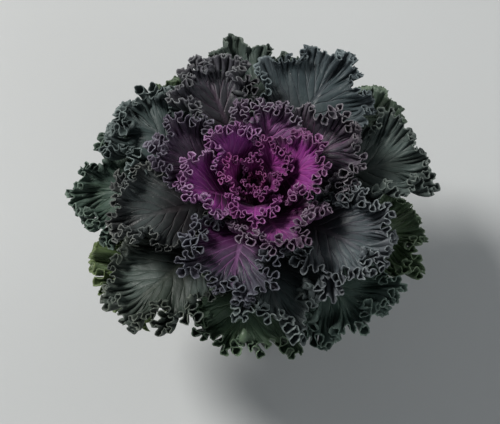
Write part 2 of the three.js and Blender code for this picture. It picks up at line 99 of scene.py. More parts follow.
def midrib(L, n=1200):
    length = L["lp"] + L["lb"]
    s = np.linspace(0, length, n + 1)
    q = s / length
    e = (L["e0"] + (L["e1"] - L["e0"]) * np.power(q, L["bp"])) * DEG
    h = L["yaw"] * DEG * np.power(q, 1.5)
    d = np.stack([np.cos(e) * np.cos(h), np.cos(e) * np.sin(h), np.sin(e)], 1)
    p = np.zeros((n + 1, 3))
    p[0] = [L["r0"], 0, L["z0"]]
    p[1:] = p[0] + np.cumsum(0.5 * (d[:-1] + d[1:]) * (length / n), 0)
    return s, e, h, p


def half_width(L, s):
    t = (s - L["lp"]) / L["lb"]
    wb = L["w"] / 2 * outline(t)
    wp = L["wp"] / 2
    base = wp * (1 + 0.35 * np.exp(-s / (0.25 * L["lp"] + 1e-6)))
    return np.where(t <= 0, base, np.sqrt(wb ** 2 + (wp * (1 - np.clip(t, 0, 1))) ** 2))


def surf(L, s, x):
    """Point and normal of the leaf's mid-surface, s along the midrib and x across."""
    S, e, h, p = midrib(L)
    length = L["lp"] + L["lb"]
    q = s / length
    ee, hh = np.interp(s, S, e), np.interp(s, S, h)
    P = np.stack([np.interp(s, S, p[:, k]) for k in range(3)], -1)
    # a little past the tip the blade carries straight on
    over = np.clip(s - length, 0, None)
    T = np.stack([np.cos(ee) * np.cos(hh), np.cos(ee) * np.sin(hh), np.sin(ee)], -1)
    P = P + T * over[..., None]
    Sd = np.stack([-np.sin(hh), np.cos(hh), 0 * hh], -1)
    N = np.cross(T, Sd)
    rho = L["roll"] * DEG * q
    c, sn = np.cos(rho)[..., None], np.sin(rho)[..., None]
    Sr, Nr = Sd * c + N * sn, N * c - Sd * sn
    r = np.hypot(P[..., 0], P[..., 1])
    k = L["conc"] * np.sin(ee) / np.maximum(r, L["rmin"]) + L["cup"] * DEG / L["w"]
    k = np.where(np.abs(k) < 1e-5, 1e-5, k)
    X, Z = np.sin(k * x) / k, (1 - np.cos(k * x)) / k
    m = np.power(np.clip(np.abs(x) / (L["w"] / 2), 0, 1.2), 2.2)
    t = np.clip((s - L["lp"]) / L["lb"], 0, 1)
    side = np.where(x >= 0, L["ph1"], L["ph2"])
    Z = Z + L["wa"] * m * np.sin(2 * np.pi * L["wk"] * t + side) * np.sin(np.pi * t)
    P = P + Sr * X[..., None] + Nr * Z[..., None]
    N2 = Nr * np.cos(k * x)[..., None] - Sr * np.sin(k * x)[..., None]
    a = L["az"] * DEG
    R = np.array([[math.cos(a), -math.sin(a), 0], [math.sin(a), math.cos(a), 0], [0, 0, 1]])
    return P @ R.T, N2 @ R.T


def unit(a):
    return a / np.maximum(np.linalg.norm(a, axis=-1, keepdims=True), 1e-9)


def smooth(x):
    x = np.clip(x, 0, 1)
    return x * x * (3 - 2 * x)


def blur(A, w):
    """Moving average along axis 1, done twice."""
    if w < 1:
        return A
    pad = ((0, 0), (w, w)) + ((0, 0),) * (A.ndim - 2)
    for _ in range(2):
        c = np.cumsum(np.pad(A, pad, mode="edge"), axis=1)
        c = np.concatenate([np.zeros_like(c[:, :1]), c], 1)
        A = (c[:, 2 * w + 1:] - c[:, :-2 * w - 1]) / (2 * w + 1)
    return A


class Wander:
    """Smooth random function of one variable, from a few sines, about -1 to 1."""
    def __init__(self, rng, freq, n=5):
        self.f = freq * rng.uniform(0.45, 1.5, n)
        self.p = rng.uniform(0, 2 * np.pi, n)
        self.n = n

    def __call__(self, x):
        return sum(np.sin(2 * np.pi * f * x + p) for f, p in zip(self.f, self.p)) / math.sqrt(self.n)


# Ring distances from the margin, in millimetres, in the curled band
BAND = np.array([0, 1.0, 2.4, 4.2, 6.4, 9.0, 12.2, 16.0])
INNER = np.array([0, 0.045, 0.11, 0.22, 0.42, 0.68])


ND = 4000


class Leaf:
    def __init__(self, L, seed, frill):
        self.L = L
        self.rng = rng = np.random.default_rng(seed)
        self.F = frill
        nd = ND
        t = 0.5 - 0.5 * np.cos(np.pi * np.linspace(0, 1, nd + 1))
        s = L["lp"] + L["lb"] * t
        w = half_width(L, s)
        self.sM = np.concatenate([s, s[-2::-1]])
        self.xM = np.concatenate([-w, w[-2::-1]])
        self.tM = np.concatenate([t, t[-2::-1]])
        a = np.concatenate([[0], np.cumsum(np.hypot(np.diff(self.sM), np.diff(self.xM)))])
        self.len0 = a[-1]
        self.u0 = a / a[-1]
        self.utip = self.u0[nd]
        P = self.len0
        f = self.F
        self.w_alpha = Wander(rng, P / 34.0)
        self.w_alpha2 = Wander(rng, P / 19.0)
        self.w_d0 = Wander(rng, P / 22.0)
        self.w_amp = [Wander(rng, P / q) for q in (60.0, 30.0, 18.0, 12.0)]
        self.w_ph = [Wander(rng, P / q) for q in (90.0, 60.0, 26.0, 14.0)]
        self.w_tooth = [Wander(rng, P / q) for q in (9.0, 4.0, 5.0)]
        self.ph0 = rng.uniform(0, 2 * np.pi, 4)
        self.room = None      # height free above the margin: positions along it, and millimetres
        self.under = None     # the same below

    def margin(self, u):
        g = lambda arr: np.interp(u, self.u0, arr)
        s, x, t = g(self.sM), g(self.xM), g(self.tM)
        L = self.L
        sc = L["lp"] + L["lb"] * 0.62 * np.power(t, 1.7)
        return s, x, t, sc

    def fields(self):
        """Free heights and rim curl along the margin, without sudden changes."""
        F = self.F
        g = np.linspace(0, 1, 1500)
        mm = len(g) / self.len0

        def table(pair):
            return np.full(len(g), 99.0) if pair is None else np.interp(g, pair[0], pair[1])

        room, under = table(self.room), table(self.under)
        ends = smooth(g / 0.09) * smooth((1 - g) / 0.09)
        s, x, t, sc = self.margin(g)
        reach = 0.55 * np.hypot(s - sc, x)
        d0 = F["curl_band"] * (1 + 0.2 * self.w_d0(g))
        d0 = np.power(np.power(d0, -3) + np.power(reach, -3), -1 / 3)
        alpha = (F["curl"] + F["curl_var"] * self.w_alpha(g) + 0.2 * F["curl_var"] * self.w_alpha2(g)) * DEG
        alpha = np.clip(alpha, -55 * DEG, 92 * DEG)
        lim = np.clip((room - 2.0) / (d0 * 0.75), 0.06, 1)
        alpha = np.where(alpha > 0, np.minimum(alpha, np.arcsin(lim) * 1.25), alpha) * ends
        w = int(2.0 * mm)
        self.g = g
        self.tab = blur(np.stack([room, under, d0, alpha]), w)

    def grid(self, u, scales, phases):
        """Rings by columns: points of the frilled mid-surface."""
        L, F = self.L, self.F
        s, x, t, sc = self.margin(u)
        Lv = np.hypot(s - sc, x)
        band = BAND[-1] * F["band"]
        k = np.minimum(F["band"], 0.82 * Lv / BAND[-1])
        D = np.concatenate([
            (Lv - BAND[-1] * k)[None, :] * (1 - INNER[:, None]) + (BAND[-1] * k)[None, :],
            (BAND[::-1][:, None]) * k[None, :]], 0)
        V = 1 - D / Lv
        S = sc + (s - sc) * V
        X = x * V
        P, N = surf(L, S, X)
        ds, dx = (s - sc) / Lv, x / Lv
        P2, _ = surf(L, S + 0.4 * ds, X + 0.4 * dx)
        o = unit(P2 - P)
        N = unit(N - o * np.sum(N * o, -1, keepdims=True))
        ends = smooth(u / 0.07) * smooth((1 - u) / 0.07)
        room, under, d0, alpha = (np.interp(u, self.g, t) for t in self.tab)
        # the rim curls up (towards the top face) over the outer band
        pp = np.clip(1 - D / d0, 0, 1)
        h = np.zeros_like(D); c = np.zeros_like(D)
        nq = 10
        for i in range(nq):
            al = alpha * np.power(pp * (i + 0.5) / nq, 1.25)
            h += np.sin(al) * pp / nq
            c += (1 - np.cos(al)) * pp / nq
        al = (alpha * np.power(pp, 1.25))[..., None]
        P = P - o * (c * d0)[..., None] + N * (h * d0)[..., None]
        N = unit(N * np.cos(al) - o * np.sin(al))
        # margins tucked under a neighbour are calmer
        squeeze = 0.22 + 0.78 * smooth((room - 2.0) / 12.0)
        for j in range(scales):
            A, lam, beta, onset = F["A"][j], F["lam"][j], F["beta"][j], F["onset"][j]
            on = np.minimum(onset, 0.85 * Lv)
            E = np.power(np.clip(1 - D / on, 0, 1), F["pow"][j]) * ends
            amp = np.clip(1 + 0.42 * self.w_amp[j](u), 0.35, 1.4)
            amp = amp * squeeze
            if j == 0:
                amp = amp * np.clip((under + 2.0) / 10.0, 0.3, 1)
            ph = phases[j](u)
            tu = unit(np.gradient(P, axis=1))
            if j > 0:
                tv = np.gradient(P, axis=0)
                n = np.cross(tu, tv)
                ln = np.linalg.norm(n, axis=-1, keepdims=True)
                dot = np.sum(n * N, -1)
                sg = 1.0 if np.sum(dot[2:6]) >= 0 else -1.0
                N = np.where(ln > 1e-5, sg * n / np.maximum(ln, 1e-9), N)
                mm = max(float(np.mean(np.linalg.norm(np.diff(P[-1], axis=0), axis=1))), 1e-4)
                w = int(round((0.13 if j < 3 else 0.1) * lam / mm))
                N, tu = unit(blur(N, w)), unit(blur(tu, w))
            if j > 0:
                # a wave can't be deeper than the bend that it rides on is wide
                arc = np.linalg.norm(np.diff(P, axis=1), axis=-1)
                arc = np.maximum(np.concatenate([arc[:, :1], arc], 1), 1e-4)
                bend = np.linalg.norm(np.gradient(tu, axis=1), axis=-1) / arc
                win = np.maximum(1, int(round(0.22 * F["lam"][j - 1] / max(float(np.mean(arc[-1])), 1e-3))))
                ker = np.ones(2 * win + 1) / (2 * win + 1)
                bend = np.convolve(np.pad(bend[-1], win, mode="edge"), ker, "valid")
                top = np.array([bend[max(0, i - win):i + win + 1].max() for i in range(0, len(bend), max(1, win // 3))])
                top = np.interp(np.arange(len(bend)), np.arange(0, len(bend), max(1, win // 3)), top)
                amp = amp * np.clip(F["limit"] / np.maximum(top * A, 1e-3), 0.2, 1)
            b = E * amp * A * (np.sin(ph) + 0.18 * np.sin(2.13 * ph + 1.3))
            a = -E * amp * beta * lam * np.sin(2 * ph)
            P = P + N * b[..., None] + tu * a[..., None]
        return P, D, V, S, X, N

    def solve(self):
        L, F = self.L, self.F
        self.fields()
        ud = np.linspace(0, 1, 1800)
        ph = [None] * 4

        def phase(j, arc):
            tot = arc[-1]
            arr = 2 * np.pi * arc / F["lam"][j] + F["jitter"][j] * self.w_ph[j](arc / tot) + self.ph0[j]
            uu = ud
            return lambda u, uu=uu, arr=arr: np.interp(u, uu, arr)

        ph[0] = phase(0, ud * self.len0)
        for j in (1, 2, 3):
            P = self.grid(ud, j, ph)[0][-1]
            ph[j] = phase(j, np.concatenate([[0], np.cumsum(np.linalg.norm(np.diff(P, axis=0), axis=1))]))
        P = self.grid(ud, 4, ph)[0][-1]
        arc = np.concatenate([[0], np.cumsum(np.linalg.norm(np.diff(P, axis=0), axis=1))])
        self.len3 = arc[-1]
        # columns: coarse ones mirror each other across the midrib, fine ones follow the frilled length
        n8 = max(6, int(round(self.len3 / F["step"] / 8 / 2))) * 2     # coarse columns, even
        half = n8 // 2
        tt = np.linspace(0, 1, 400)
        ul = np.interp(tt, self.tM[:ND + 1], self.u0[:ND + 1])
        ur = np.interp(tt, self.tM[ND:][::-1], self.u0[ND:][::-1])
        mean = np.interp(ul, ud, arc) + (arc[-1] - np.interp(ur, ud, arc))
        tc = np.interp(np.linspace(0, mean[-1], half + 1), mean, tt)
        cl = np.interp(tc, self.tM[:ND + 1], self.u0[:ND + 1])
        cr = np.interp(tc, self.tM[ND:][::-1], self.u0[ND:][::-1])[::-1]
        coarse = np.concatenate([cl, cr[1:]])
        ac = np.interp(coarse, ud, arc)
        fine = []
        for i in range(n8):
            fine.append(np.interp(ac[i] + (ac[i + 1] - ac[i]) * np.arange(8) / 8, arc, ud))
        fine = np.concatenate(fine + [[1.0]])
        fine[::8] = coarse
        self.u, self.n8 = fine, n8
        P, D, V, S, X, N = self.grid(fine, 4, ph)
        # small uneven teeth along the very edge
        af = np.interp(fine, ud, arc)
        way = af / F["tooth_gap"] + 0.55 * self.w_tooth[0](fine) + 0.3 * self.w_tooth[1](fine)
        jag = 1 - np.abs(2 * np.mod(way, 1) - 1)
        jag = (np.power(jag, 0.8) - 0.5) * np.clip(1 + 0.5 * self.w_tooth[2](fine), 0.25, 1.7)
        jag = jag * F["tooth"] * smooth(fine / 0.05) * smooth((1 - fine) / 0.05)
        out = unit(P[-1] - P[-3])
        for r, share in ((-1, 1.0), (-2, 0.6), (-3, 0.2)):
            P[r] = P[r] + out * (share * jag)[:, None]
        self.P, self.D, self.V, self.S, self.X, self.N = P, D, V, S, X, N
        return self

    def build(self):
        """Thin closed shell: returns vertices (mm), triangles, flat flags and per-vertex data."""
        L, F = self.L, self.F
        P, D, V, S, X, u, n8 = self.P, self.D, self.V, self.S, self.X, self.u, self.n8
        J = P.shape[0]
        N8 = 8 * n8
        step = [8] * 5 + [4] * 2 + [2] * 2 + [1] * (J - 9)
        verts, data = [], []
        idx = []
        # vein coordinate: veins leave the midrib at whole numbers, alike on both sides
        veins = np.minimum(u, 1 - u) * self.len0 / F["vein"]
        gap = np.linalg.norm(np.gradient(P, axis=1), axis=-1) / np.maximum(np.abs(np.gradient(veins)), 1e-5)[None, :]
        gap = np.clip(gap, 0.2, 40)

        def add(p, d, uu, vv, ss, xx, vein=0.5, lw=8.0, ci=0.0, ring=0):
            verts.append(p)
            data.append((d, uu, vv, ss, xx, vein, lw, ci, ring))
            return len(verts) - 1

        # ring 0 lies on the midrib: left and right share vertices
        ring0 = {}
        row = []
        for i in range(0, N8 + 1, 8):
            key = min(i, N8 - i)
            if key not in ring0:
                ring0[key] = add(P[0, i], D[0, i], u[i], V[0, i], S[0, i], 0.0, veins[i], gap[0, i], i / N8, 0)
            row.append(ring0[key])
        idx.append(row)
        for j in range(1, J):
            row = []
            for i in range(0, N8 + 1, step[j]):
                row.append(add(P[j, i], D[j, i], u[i], V[j, i], S[j, i], X[j, i], veins[i], gap[j, i], i / N8, j))
            idx.append(row)
        T = []
        for j in range(J - 1):
            a, b = idx[j], idx[j + 1]
            if step[j] == step[j + 1]:
                for i in range(len(a) - 1):
                    q = (a[i], a[i + 1], b[i + 1], b[i])
                    if (i >= (len(a) - 1) // 2) if j == 0 else ((i + j) % 2):
                        T += [(q[0], q[1], q[2]), (q[0], q[2], q[3])]
                    else:
                        T += [(q[0], q[1], q[3]), (q[1], q[2], q[3])]
            else:
                for i in range(len(a) - 1):
                    m = 2 * i
                    T += [(a[i], b[m + 1], b[m]), (a[i], a[i + 1], b[m + 1]), (a[i + 1], b[m + 2], b[m + 1])]
        n_blade = len(T)
        # petiole: strips that carry the blade's first and last columns down to the stem
        left = [idx[j][0] for j in range(J)]
        right = [idx[j][-1] for j in range(J)]
        line = left[::-1] + right[1:]
        frac = np.concatenate([-V[::-1, 0], V[1:, -1]])
        keep = sorted(set([0, 3, 6, 8, 10, 12, J - 1] + [2 * (J - 1) - k for k in [0, 3, 6, 8, 10, 12]]))
        npet = max(4, int(L["lp"] / 3.2))
        prev = line
        kk = list(range(len(line)))
        for r in range(1, npet + 1):
            ss = L["lp"] * (1 - r / npet)
            hw = float(half_width(L, np.array([ss]))[0])
            xs = frac * hw
            Q, _ = surf(L, np.full_like(xs, ss), xs)
            if r == 1:
                cols = keep
            cur = {c: add(Q[c], hw - abs(xs[c]), 0.0 if c < J else 1.0, frac[c], ss, xs[c], ci=frac[c], ring=-1) for c in cols}
            if r == 1:
                # from all columns to the kept ones
                for a, b in zip(cols[:-1], cols[1:]):
                    for m in range(a, b):
                        T.append((cur[a], line[m + 1], line[m]))
                    T.append((cur[a], cur[b], line[b]))
            else:
                for a, b in zip(cols[:-1], cols[1:]):
                    T += [(cur[a], cur[b], prevd[b]), (cur[a], prevd[b], prevd[a])]
            prevd = cur
        M = np.array(verts)
        dat = np.array(data)
        T = np.array(T)
        # one orientation: top face up
        nrm = np.cross(M[T[:, 1]] - M[T[:, 0]], M[T[:, 2]] - M[T[:, 0]])
        vn = np.zeros_like(M)
        for c in range(3):
            np.add.at(vn, T[:, c], nrm)
        mid = idx[2][len(idx[2]) // 4]
        ref = self.N[2, (len(idx[2]) // 4) * 8]
        if np.dot(vn[mid], ref) < 0:
            T = T[:, [0, 2, 1]]
            vn = -vn
        vn = unit(vn)
        d, uu, vv, ss, xx = dat[:, :5].T
        pet = np.arange(len(T)) >= n_blade
        q = ss / (L["lp"] + L["lb"])
        # thickness: thin frilled edge, fuller blade, rounded rib and stalk underneath
        te = F["thick"] * (0.62 + 0.38 * smooth(d / 6.0))
        ribw = L["wp"] * 0.5 * (1 - 0.80 * np.clip((ss - L["lp"]) / L["lb"], 0, 1) ** 0.8) * 0.95
        ribt = L["tr"] * (1 - 0.85 * np.clip((ss - L["lp"]) / L["lb"], 0, 1) ** 0.9)
        prof = np.sqrt(np.clip(1 - (xx / np.maximum(ribw * 1.15, 0.2)) ** 2, 0, 1))
        rib = ribt * prof
        # a shallow groove down the upper side of stalk and rib
        groove = 0.35 * np.exp(-(xx / np.maximum(0.45 * ribw, 0.2)) ** 2) * np.clip(1.2 - q, 0, 1)
        top = M + vn * (te * 0.5 - groove)[:, None]
        bot = M - vn * (te * 0.5 + rib)[:, None]
        n = len(M)
        Vv = np.concatenate([top, bot])
        F1 = T
        F2 = T[:, [0, 2, 1]] + n
        e = np.concatenate([T[:, [0, 1]], T[:, [1, 2]], T[:, [2, 0]]])
        key = e[:, 0].astype(np.int64) * n + e[:, 1]
        rkey = e[:, 1].astype(np.int64) * n + e[:, 0]
        be = e[~np.isin(key, rkey)]
        F3 = np.concatenate([np.stack([be[:, 1], be[:, 0], be[:, 0] + n], 1),
                             np.stack([be[:, 1], be[:, 0] + n, be[:, 1] + n], 1)])
        faces = np.concatenate([F1, F2, F3])
        dat2 = np.concatenate([dat, dat])
        side = np.concatenate([np.zeros(n), np.ones(n)])
        flat = np.concatenate([np.zeros(len(F1) + len(F2), bool), np.ones(len(F3), bool)])
        uv = self.layout(T, pet, be, dat, n)
        return Vv, faces, flat, dat2, side, uv

    def layout(self, T, pet, be, dat, n):
        """Flat layout of the shell, one pair per face corner: top, underside and rim apart."""
        L = self.L
        d, uu, vv, ss, xx, vein, lw, ci, ring = dat.T
        rows = np.cumsum([0, .35, .45, .7, 1.1, 1.5, 1.6, 1.5, 1.4, 1.4, 1.3, 1.2, 1.1, 1.0])
        rows = rows / rows[-1]

        def blade(tri, y0, y1):
            r, c = ring[tri], ci[tri]
            r = np.where(r < 0, 0, r)
            out = np.where(r == 0, -1.0, c)
            far = np.max(out, axis=1, keepdims=True)
            x = np.where((r == 0) & (far > 0.5), 1 - c, c)
            return np.stack([0.006 + 0.988 * x, y0 + (y1 - y0) * rows[r.astype(int)]], -1)

        def stalk(tri, x0, x1, y0, y1):
            w = np.where(ring[tri] < 0, vv[tri], np.where(uu[tri] < 0.5, -vv[tri], vv[tri]))
            w = np.where(ring[tri] == 0, 0.0, w)
            return np.stack([x0 + (x1 - x0) * (0.5 + 0.5 * w), y0 + (y1 - y0) * np.clip(ss[tri] / L["lp"], 0, 1)], -1)

        def face(tri, top):
            out = blade(tri, *((0.515, 0.994) if top else (0.085, 0.505)))
            st = stalk(tri, *((0.006, 0.494) if top else (0.506, 0.994)), 0.045, 0.077)
            return np.where(pet[:, None, None], st, out)

        t1 = face(T, True)
        t2 = face(T[:, [0, 2, 1]], False)
        low = (ring[be] < 0).any(1)
        foot = (ss[be] < 1e-6).all(1)
        w = np.where(ring[be] < 0, vv[be], np.where(uu[be] < 0.5, -vv[be], vv[be]))
        x = np.where(foot[:, None], 0.80 + 0.09 * (w + 1), np.where(low[:, None], 0.41 * (xx[be].mean(1) > 0)[:, None] + 0.39 * ss[be] / L["lp"], ci[be]))
        x = 0.006 + 0.988 * np.clip(x, 0, 1)
        y0 = np.where(low | foot, 0.004, 0.021)
        y1 = y0 + 0.014
        a = np.stack([x[:, 1], y1], -1)
        b = np.stack([x[:, 0], y1], -1)
        c = np.stack([x[:, 0], y0], -1)
        e = np.stack([x[:, 1], y0], -1)
        t3 = np.concatenate([np.stack([a, b, c], 1), np.stack([a, c, e], 1)])
        return np.concatenate([t1, t2, t3]).reshape(-1, 2)


def make_mesh(name, V, faces, flat=None):
    me = bpy.data.meshes.new(name)
    nf = len(faces)
    me.vertices.add(len(V))
    me.vertices.foreach_set("co", (np.asarray(V) / 1000.0).astype(np.float32).ravel())
    me.loops.add(nf * 3)
    me.polygons.add(nf)
    me.loops.foreach_set("vertex_index", np.asarray(faces, np.int32).ravel())
    me.polygons.foreach_set("loop_start", np.arange(0, nf * 3, 3, dtype=np.int32))
    me.polygons.foreach_set("use_smooth", np.ones(nf, bool) if flat is None else ~flat)
    me.update(calc_edges=True)
    return me


def attr(me, name, values):
    a = me.attributes.new(name, "FLOAT", "POINT")
    a.data.foreach_set("value", np.asarray(values, np.float32))


# light and view
WORLD = 0.12
LAMPS = [("key", (-1.35, .75, 1.95), (0, 0, .1), .8, 60.0, (1.0, .985, .96)),
         ("fill", (1.3, -1.6, 1.3), (0, 0, .1), 1.6, 8.0, (.93, .97, 1.0)),
         ("side", (1.5, 1.0, 1.3), (0, 0, .12), 1.0, 6.0, (1, 1, 1))]
AIM = (-.003, -.006, .128)
ELEV, AZIM, DIST = 68.0, 0.0, .84


# ---------------------------------------------------------------------------
# Frills: small and upright in the heart, broad and deeply curled outside
# ---------------------------------------------------------------------------
CALM = {18: .6, 19: .55, 22: .75, 23: .8, 24: .6, 26: .8, 28: .85, 30: .75}


def frill(n):
    def at(*v):
        return float(np.interp(n, [0, 4, 8, 13, 18, 31], v))
    calm = CALM.get(n, 1.0)     # some of the broad leaves carry a looser fringe
    return dict(
        band=at(.35, .55, .8, 1, 1.1, 1.1), curl_band=at(3, 6, 10, 14, 16, 16),
        curl=at(20, 34, 56, 66, 68, 60), curl_var=at(15, 20, 24, 26, 28, 36),
        A=[at(0, .4, 1.6, 3.6, 5.4, 6.0), at(.6, 1.6, 3.4, 5.2, 6.2, 5.6) * calm ** .5, at(.9, 1.6, 2.35, 2.85, 3.15, 3.7) * calm, at(.1, .12, .2, .25, .3, .3)],
        lam=[at(24, 28, 36, 44, 48, 52), at(9.5, 11, 14.5, 18, 20, 22), at(3.9, 4.3, 4.9, 5.6, 6.2, 7.6), at(3.0, 3.2, 3.6, 4.2, 4.7, 5.4)],
        beta=[.02, .05, .16, .03], limit=2.2,
        onset=[at(8, 14, 22, 34, 42, 44), at(5, 9, 14, 18, 21, 22), at(3, 5.5, 9.5, 13, 15, 16), at(2, 3, 4.5, 6, 7, 7)],
        pow=[1.6, 1.7, 1.2, 1.1], jitter=[1.1, .8, .9, 1.0], step=at(.45, .48, .55, .63, .71, .9),
        tooth=at(.35, .5, .75, 1.0, 1.15, 1.35), tooth_gap=at(2.4, 2.6, 3.0, 3.6, 4.0, 5.0),
        thick=at(.45, .5, .55, .6, .65, .65), vein=at(4, 5, 6.5, 8, 9.5, 10))


def base_grid(L, rows=18, cols=13):
    """Coarse sheet of a leaf's base surface, for clearances."""
    t = np.linspace(0, 1, rows) ** 0.9
    s = np.repeat((L["lp"] + L["lb"] * t)[:, None], cols, 1)
    s[-1] -= 0.01 * L["lb"]
    x = half_width(L, s) * np.linspace(-1, 1, cols)[None, :]
    P, _ = surf(L, s, x)
    i = np.arange(rows - 1)[:, None] * cols + np.arange(cols - 1)[None, :]
    quads = np.stack([i, i + 1, i + 1 + cols, i + cols], -1).reshape(-1, 4)
    return P.reshape(-1, 3), quads


def clearances(leaves):
    """How far each margin can rise or sink before it meets a neighbour."""
    trees = []
    for L in leaves:
        P, Q = base_grid(L)
        trees.append((BVHTree.FromPolygons([Vector(p) for p in P], Q.tolist()), P.min(0) - 24, P.max(0) + 24))
    out = []
    for i, L in enumerate(leaves):
        t = 0.5 - 0.5 * np.cos(np.pi * np.linspace(0, 1, 49))
        s = L["lp"] + L["lb"] * t
        w = half_width(L, s)
        sm = np.concatenate([s, s[-2::-1]])
        xm = np.concatenate([-w, w[-2::-1]])
        a = np.concatenate([[0], np.cumsum(np.hypot(np.diff(sm), np.diff(xm)))])
        u = a / a[-1]
        up, down = np.full(len(u), 24.0), np.full(len(u), 24.0)
        sc = L["lp"] + L["lb"] * 0.62 * np.power(np.concatenate([t, t[-2::-1]]), 1.7)
        for share in (1.0, 0.9, 0.78):
            P, N = surf(L, sc + (sm - sc) * share, xm * share)
            for k in range(len(u)):
                p = Vector(P[k])
                for sign, arr in ((1, up), (-1, down)):
                    v = Vector(N[k] * sign)
                    for j, (tree, lo, hi) in enumerate(trees):
                        if j == i or (P[k] < lo).any() or (P[k] > hi).any():
                            continue
                        hit = tree.ray_cast(p, v, 24.0)
                        if hit[0] is not None:
                            arr[k] = min(arr[k], hit[3])
        res = []
        for arr in (up, down):
            m = np.minimum(arr, np.minimum(np.roll(arr, 1), np.roll(arr, -1)))
            m = np.convolve(np.pad(m, 2, mode="edge"), [.1, .25, .3, .25, .1], "valid")
            res.append((u, m))
        out.append(res)
    return out


# ---------------------------------------------------------------------------
# Node helpers
# ---------------------------------------------------------------------------
class Graph:
    def __init__(self, name):
        self.mat = bpy.data.materials.new(name)
        self.mat.use_nodes = True
        self.nt = self.mat.node_tree
        self.nt.nodes.clear()
        self.out = self.node("ShaderNodeOutputMaterial")
        self.coord = None

    def node(self, kind, **props):
        n = self.nt.nodes.new(kind)
        for k, v in props.items():
            setattr(n, k, v)
        return n

    def put(self, sock, v):
        if isinstance(v, bpy.types.NodeSocket):
            self.nt.links.new(v, sock)
        elif isinstance(v, (tuple, list)):
            sock.default_value = tuple(v) + ((1.0,) if len(v) == 3 and len(sock.default_value) == 4 else ())
        else:
            sock.default_value = v

    def attr(self, name):
        return self.node("ShaderNodeAttribute", attribute_name=name).outputs["Fac"]

    def obj(self):
        if self.coord is None:
            self.coord = self.node("ShaderNodeTexCoord").outputs["Object"]
        return self.coord

    def m(self, op, a, b=None, c=None, clamp=False):
        n = self.node("ShaderNodeMath", operation=op, use_clamp=clamp)
        for i, v in enumerate((a, b, c)):
            if v is not None:
                self.put(n.inputs[i], v)
        return n.outputs[0]

    def span(self, x, lo, hi, a=0.0, b=1.0, kind="SMOOTHSTEP"):
        n = self.node("ShaderNodeMapRange", interpolation_type=kind)
        for k, v in (("Value", x), ("From Min", lo), ("From Max", hi), ("To Min", a), ("To Max", b)):
            self.put(n.inputs[k], v)
        return n.outputs[0]

    def mix(self, f, a, b, kind="MIX"):
        n = self.node("ShaderNodeMix", data_type="RGBA", blend_type=kind)
        self.put(n.inputs[0], f)
        self.put(n.inputs[6], a)
        self.put(n.inputs[7], b)
        return n.outputs[2]

    def noise(self, scale, detail=2.0, rough=0.5, off=0.0, vec=None):
        n = self.node("ShaderNodeTexNoise")
        v = self.obj() if vec is None else vec
        if off:
            add = self.node("ShaderNodeVectorMath", operation="ADD")
            self.put(add.inputs[0], v)
            add.inputs[1].default_value = (off, off * 0.7, -off)
            v = add.outputs[0]
        self.put(n.inputs["Vector"], v)
        n.inputs["Scale"].default_value = scale
        n.inputs["Detail"].default_value = detail
        n.inputs["Roughness"].default_value = rough
        return n.outputs[0]

    def cells(self, scale, feature="DISTANCE_TO_EDGE", out=0, rand=1.0, vec=None):
        n = self.node("ShaderNodeTexVoronoi", feature=feature)
        self.put(n.inputs["Vector"], self.obj() if vec is None else vec)
        n.inputs["Scale"].default_value = scale
        n.inputs["Randomness"].default_value = rand
        return n.outputs[out]

    def bump(self, h, dist, strength=1.0, normal=None):
        n = self.node("ShaderNodeBump")
        n.inputs["Strength"].default_value = strength
        n.inputs["Distance"].default_value = dist
        self.put(n.inputs["Height"], h)
        if normal is not None:
            self.put(n.inputs["Normal"], normal)
        return n.outputs[0]

    def skin(self, colour, rough, normal, **fixed):
        p = self.node("ShaderNodeBsdfPrincipled")
        self.put(p.inputs["Base Color"], colour)
        self.put(p.inputs["Roughness"], rough)
        if normal is not None:
            self.put(p.inputs["Normal"], normal)
        for k, v in fixed.items():
            self.put(p.inputs[k.replace("_", " ")], v)
        return p


# ---------------------------------------------------------------------------
# Leaf colours, linear, by place in the rosette
# ---------------------------------------------------------------------------
STOPS = [0, 5, 8, 10, 12, 14, 17, 22, 27, 31]
PAINT = {
    "blade": [(.12, .007, .065), (.22, .015, .17), (.27, .026, .26), (.225, .028, .23), (.15, .032, .155),
              (.034, .026, .044), (.043, .054, .060), (.048, .071, .065), (.040, .072, .043), (.052, .090, .026)],
    "deep": [(.030, .002, .012), (.052, .002, .022), (.075, .003, .040), (.095, .006, .062), (.11, .010, .082),
             (.17, .020, .14), (.06, .014, .048), (.034, .026, .032), (.032, .040, .024), (.04, .058, .018)],
    "frill": [(.19, .028, .12), (.28, .05, .215), (.29, .08, .25), (.18, .085, .175), (.130, .088, .133),
              (.090, .076, .100), (.080, .084, .093), (.076, .097, .091), (.070, .102, .070), (.076, .116, .044)],
    "edge": [(.30, .08, .23), (.42, .15, .36), (.39, .18, .37), (.30, .20, .31), (.24, .21, .26),
             (.215, .21, .235), (.20, .22, .22), (.185, .22, .20), (.16, .21, .14), (.15, .20, .09)],
    "vein": [(.30, .03, .22), (.38, .05, .30), (.40, .06, .34), (.40, .08, .34), (.36, .07, .30),
             (.30, .08, .26), (.13, .10, .125), (.12, .135, .125), (.12, .16, .10), (.14, .19, .08)],
}
BASE_TO = [.50, .56, .60, .62, .60, .42, .28, .16, .12, .12]     # how far the base colour reaches


def paint(key, n, rng=None):
    return tuple(float(np.interp(n, STOPS, [c[k] for c in PAINT[key]])) for k in range(3))


# single leaves that are lighter or darker than their place in the spiral makes them: partly their own tone, partly
# painted light that lifts leaves lying in shade, such as the left wing, and painted shade that dims the right wing
# where the key lamp falls
LEAF_TONE_AND_PAINTED_LIGHT = {9: .92, 10: 1.25, 12: 1.12, 13: .86, 15: .84, 17: 1.18, 18: .86, 19: 1.22, 20: 1.15, 23: .86, 25: 1.2, 28: 1.25}


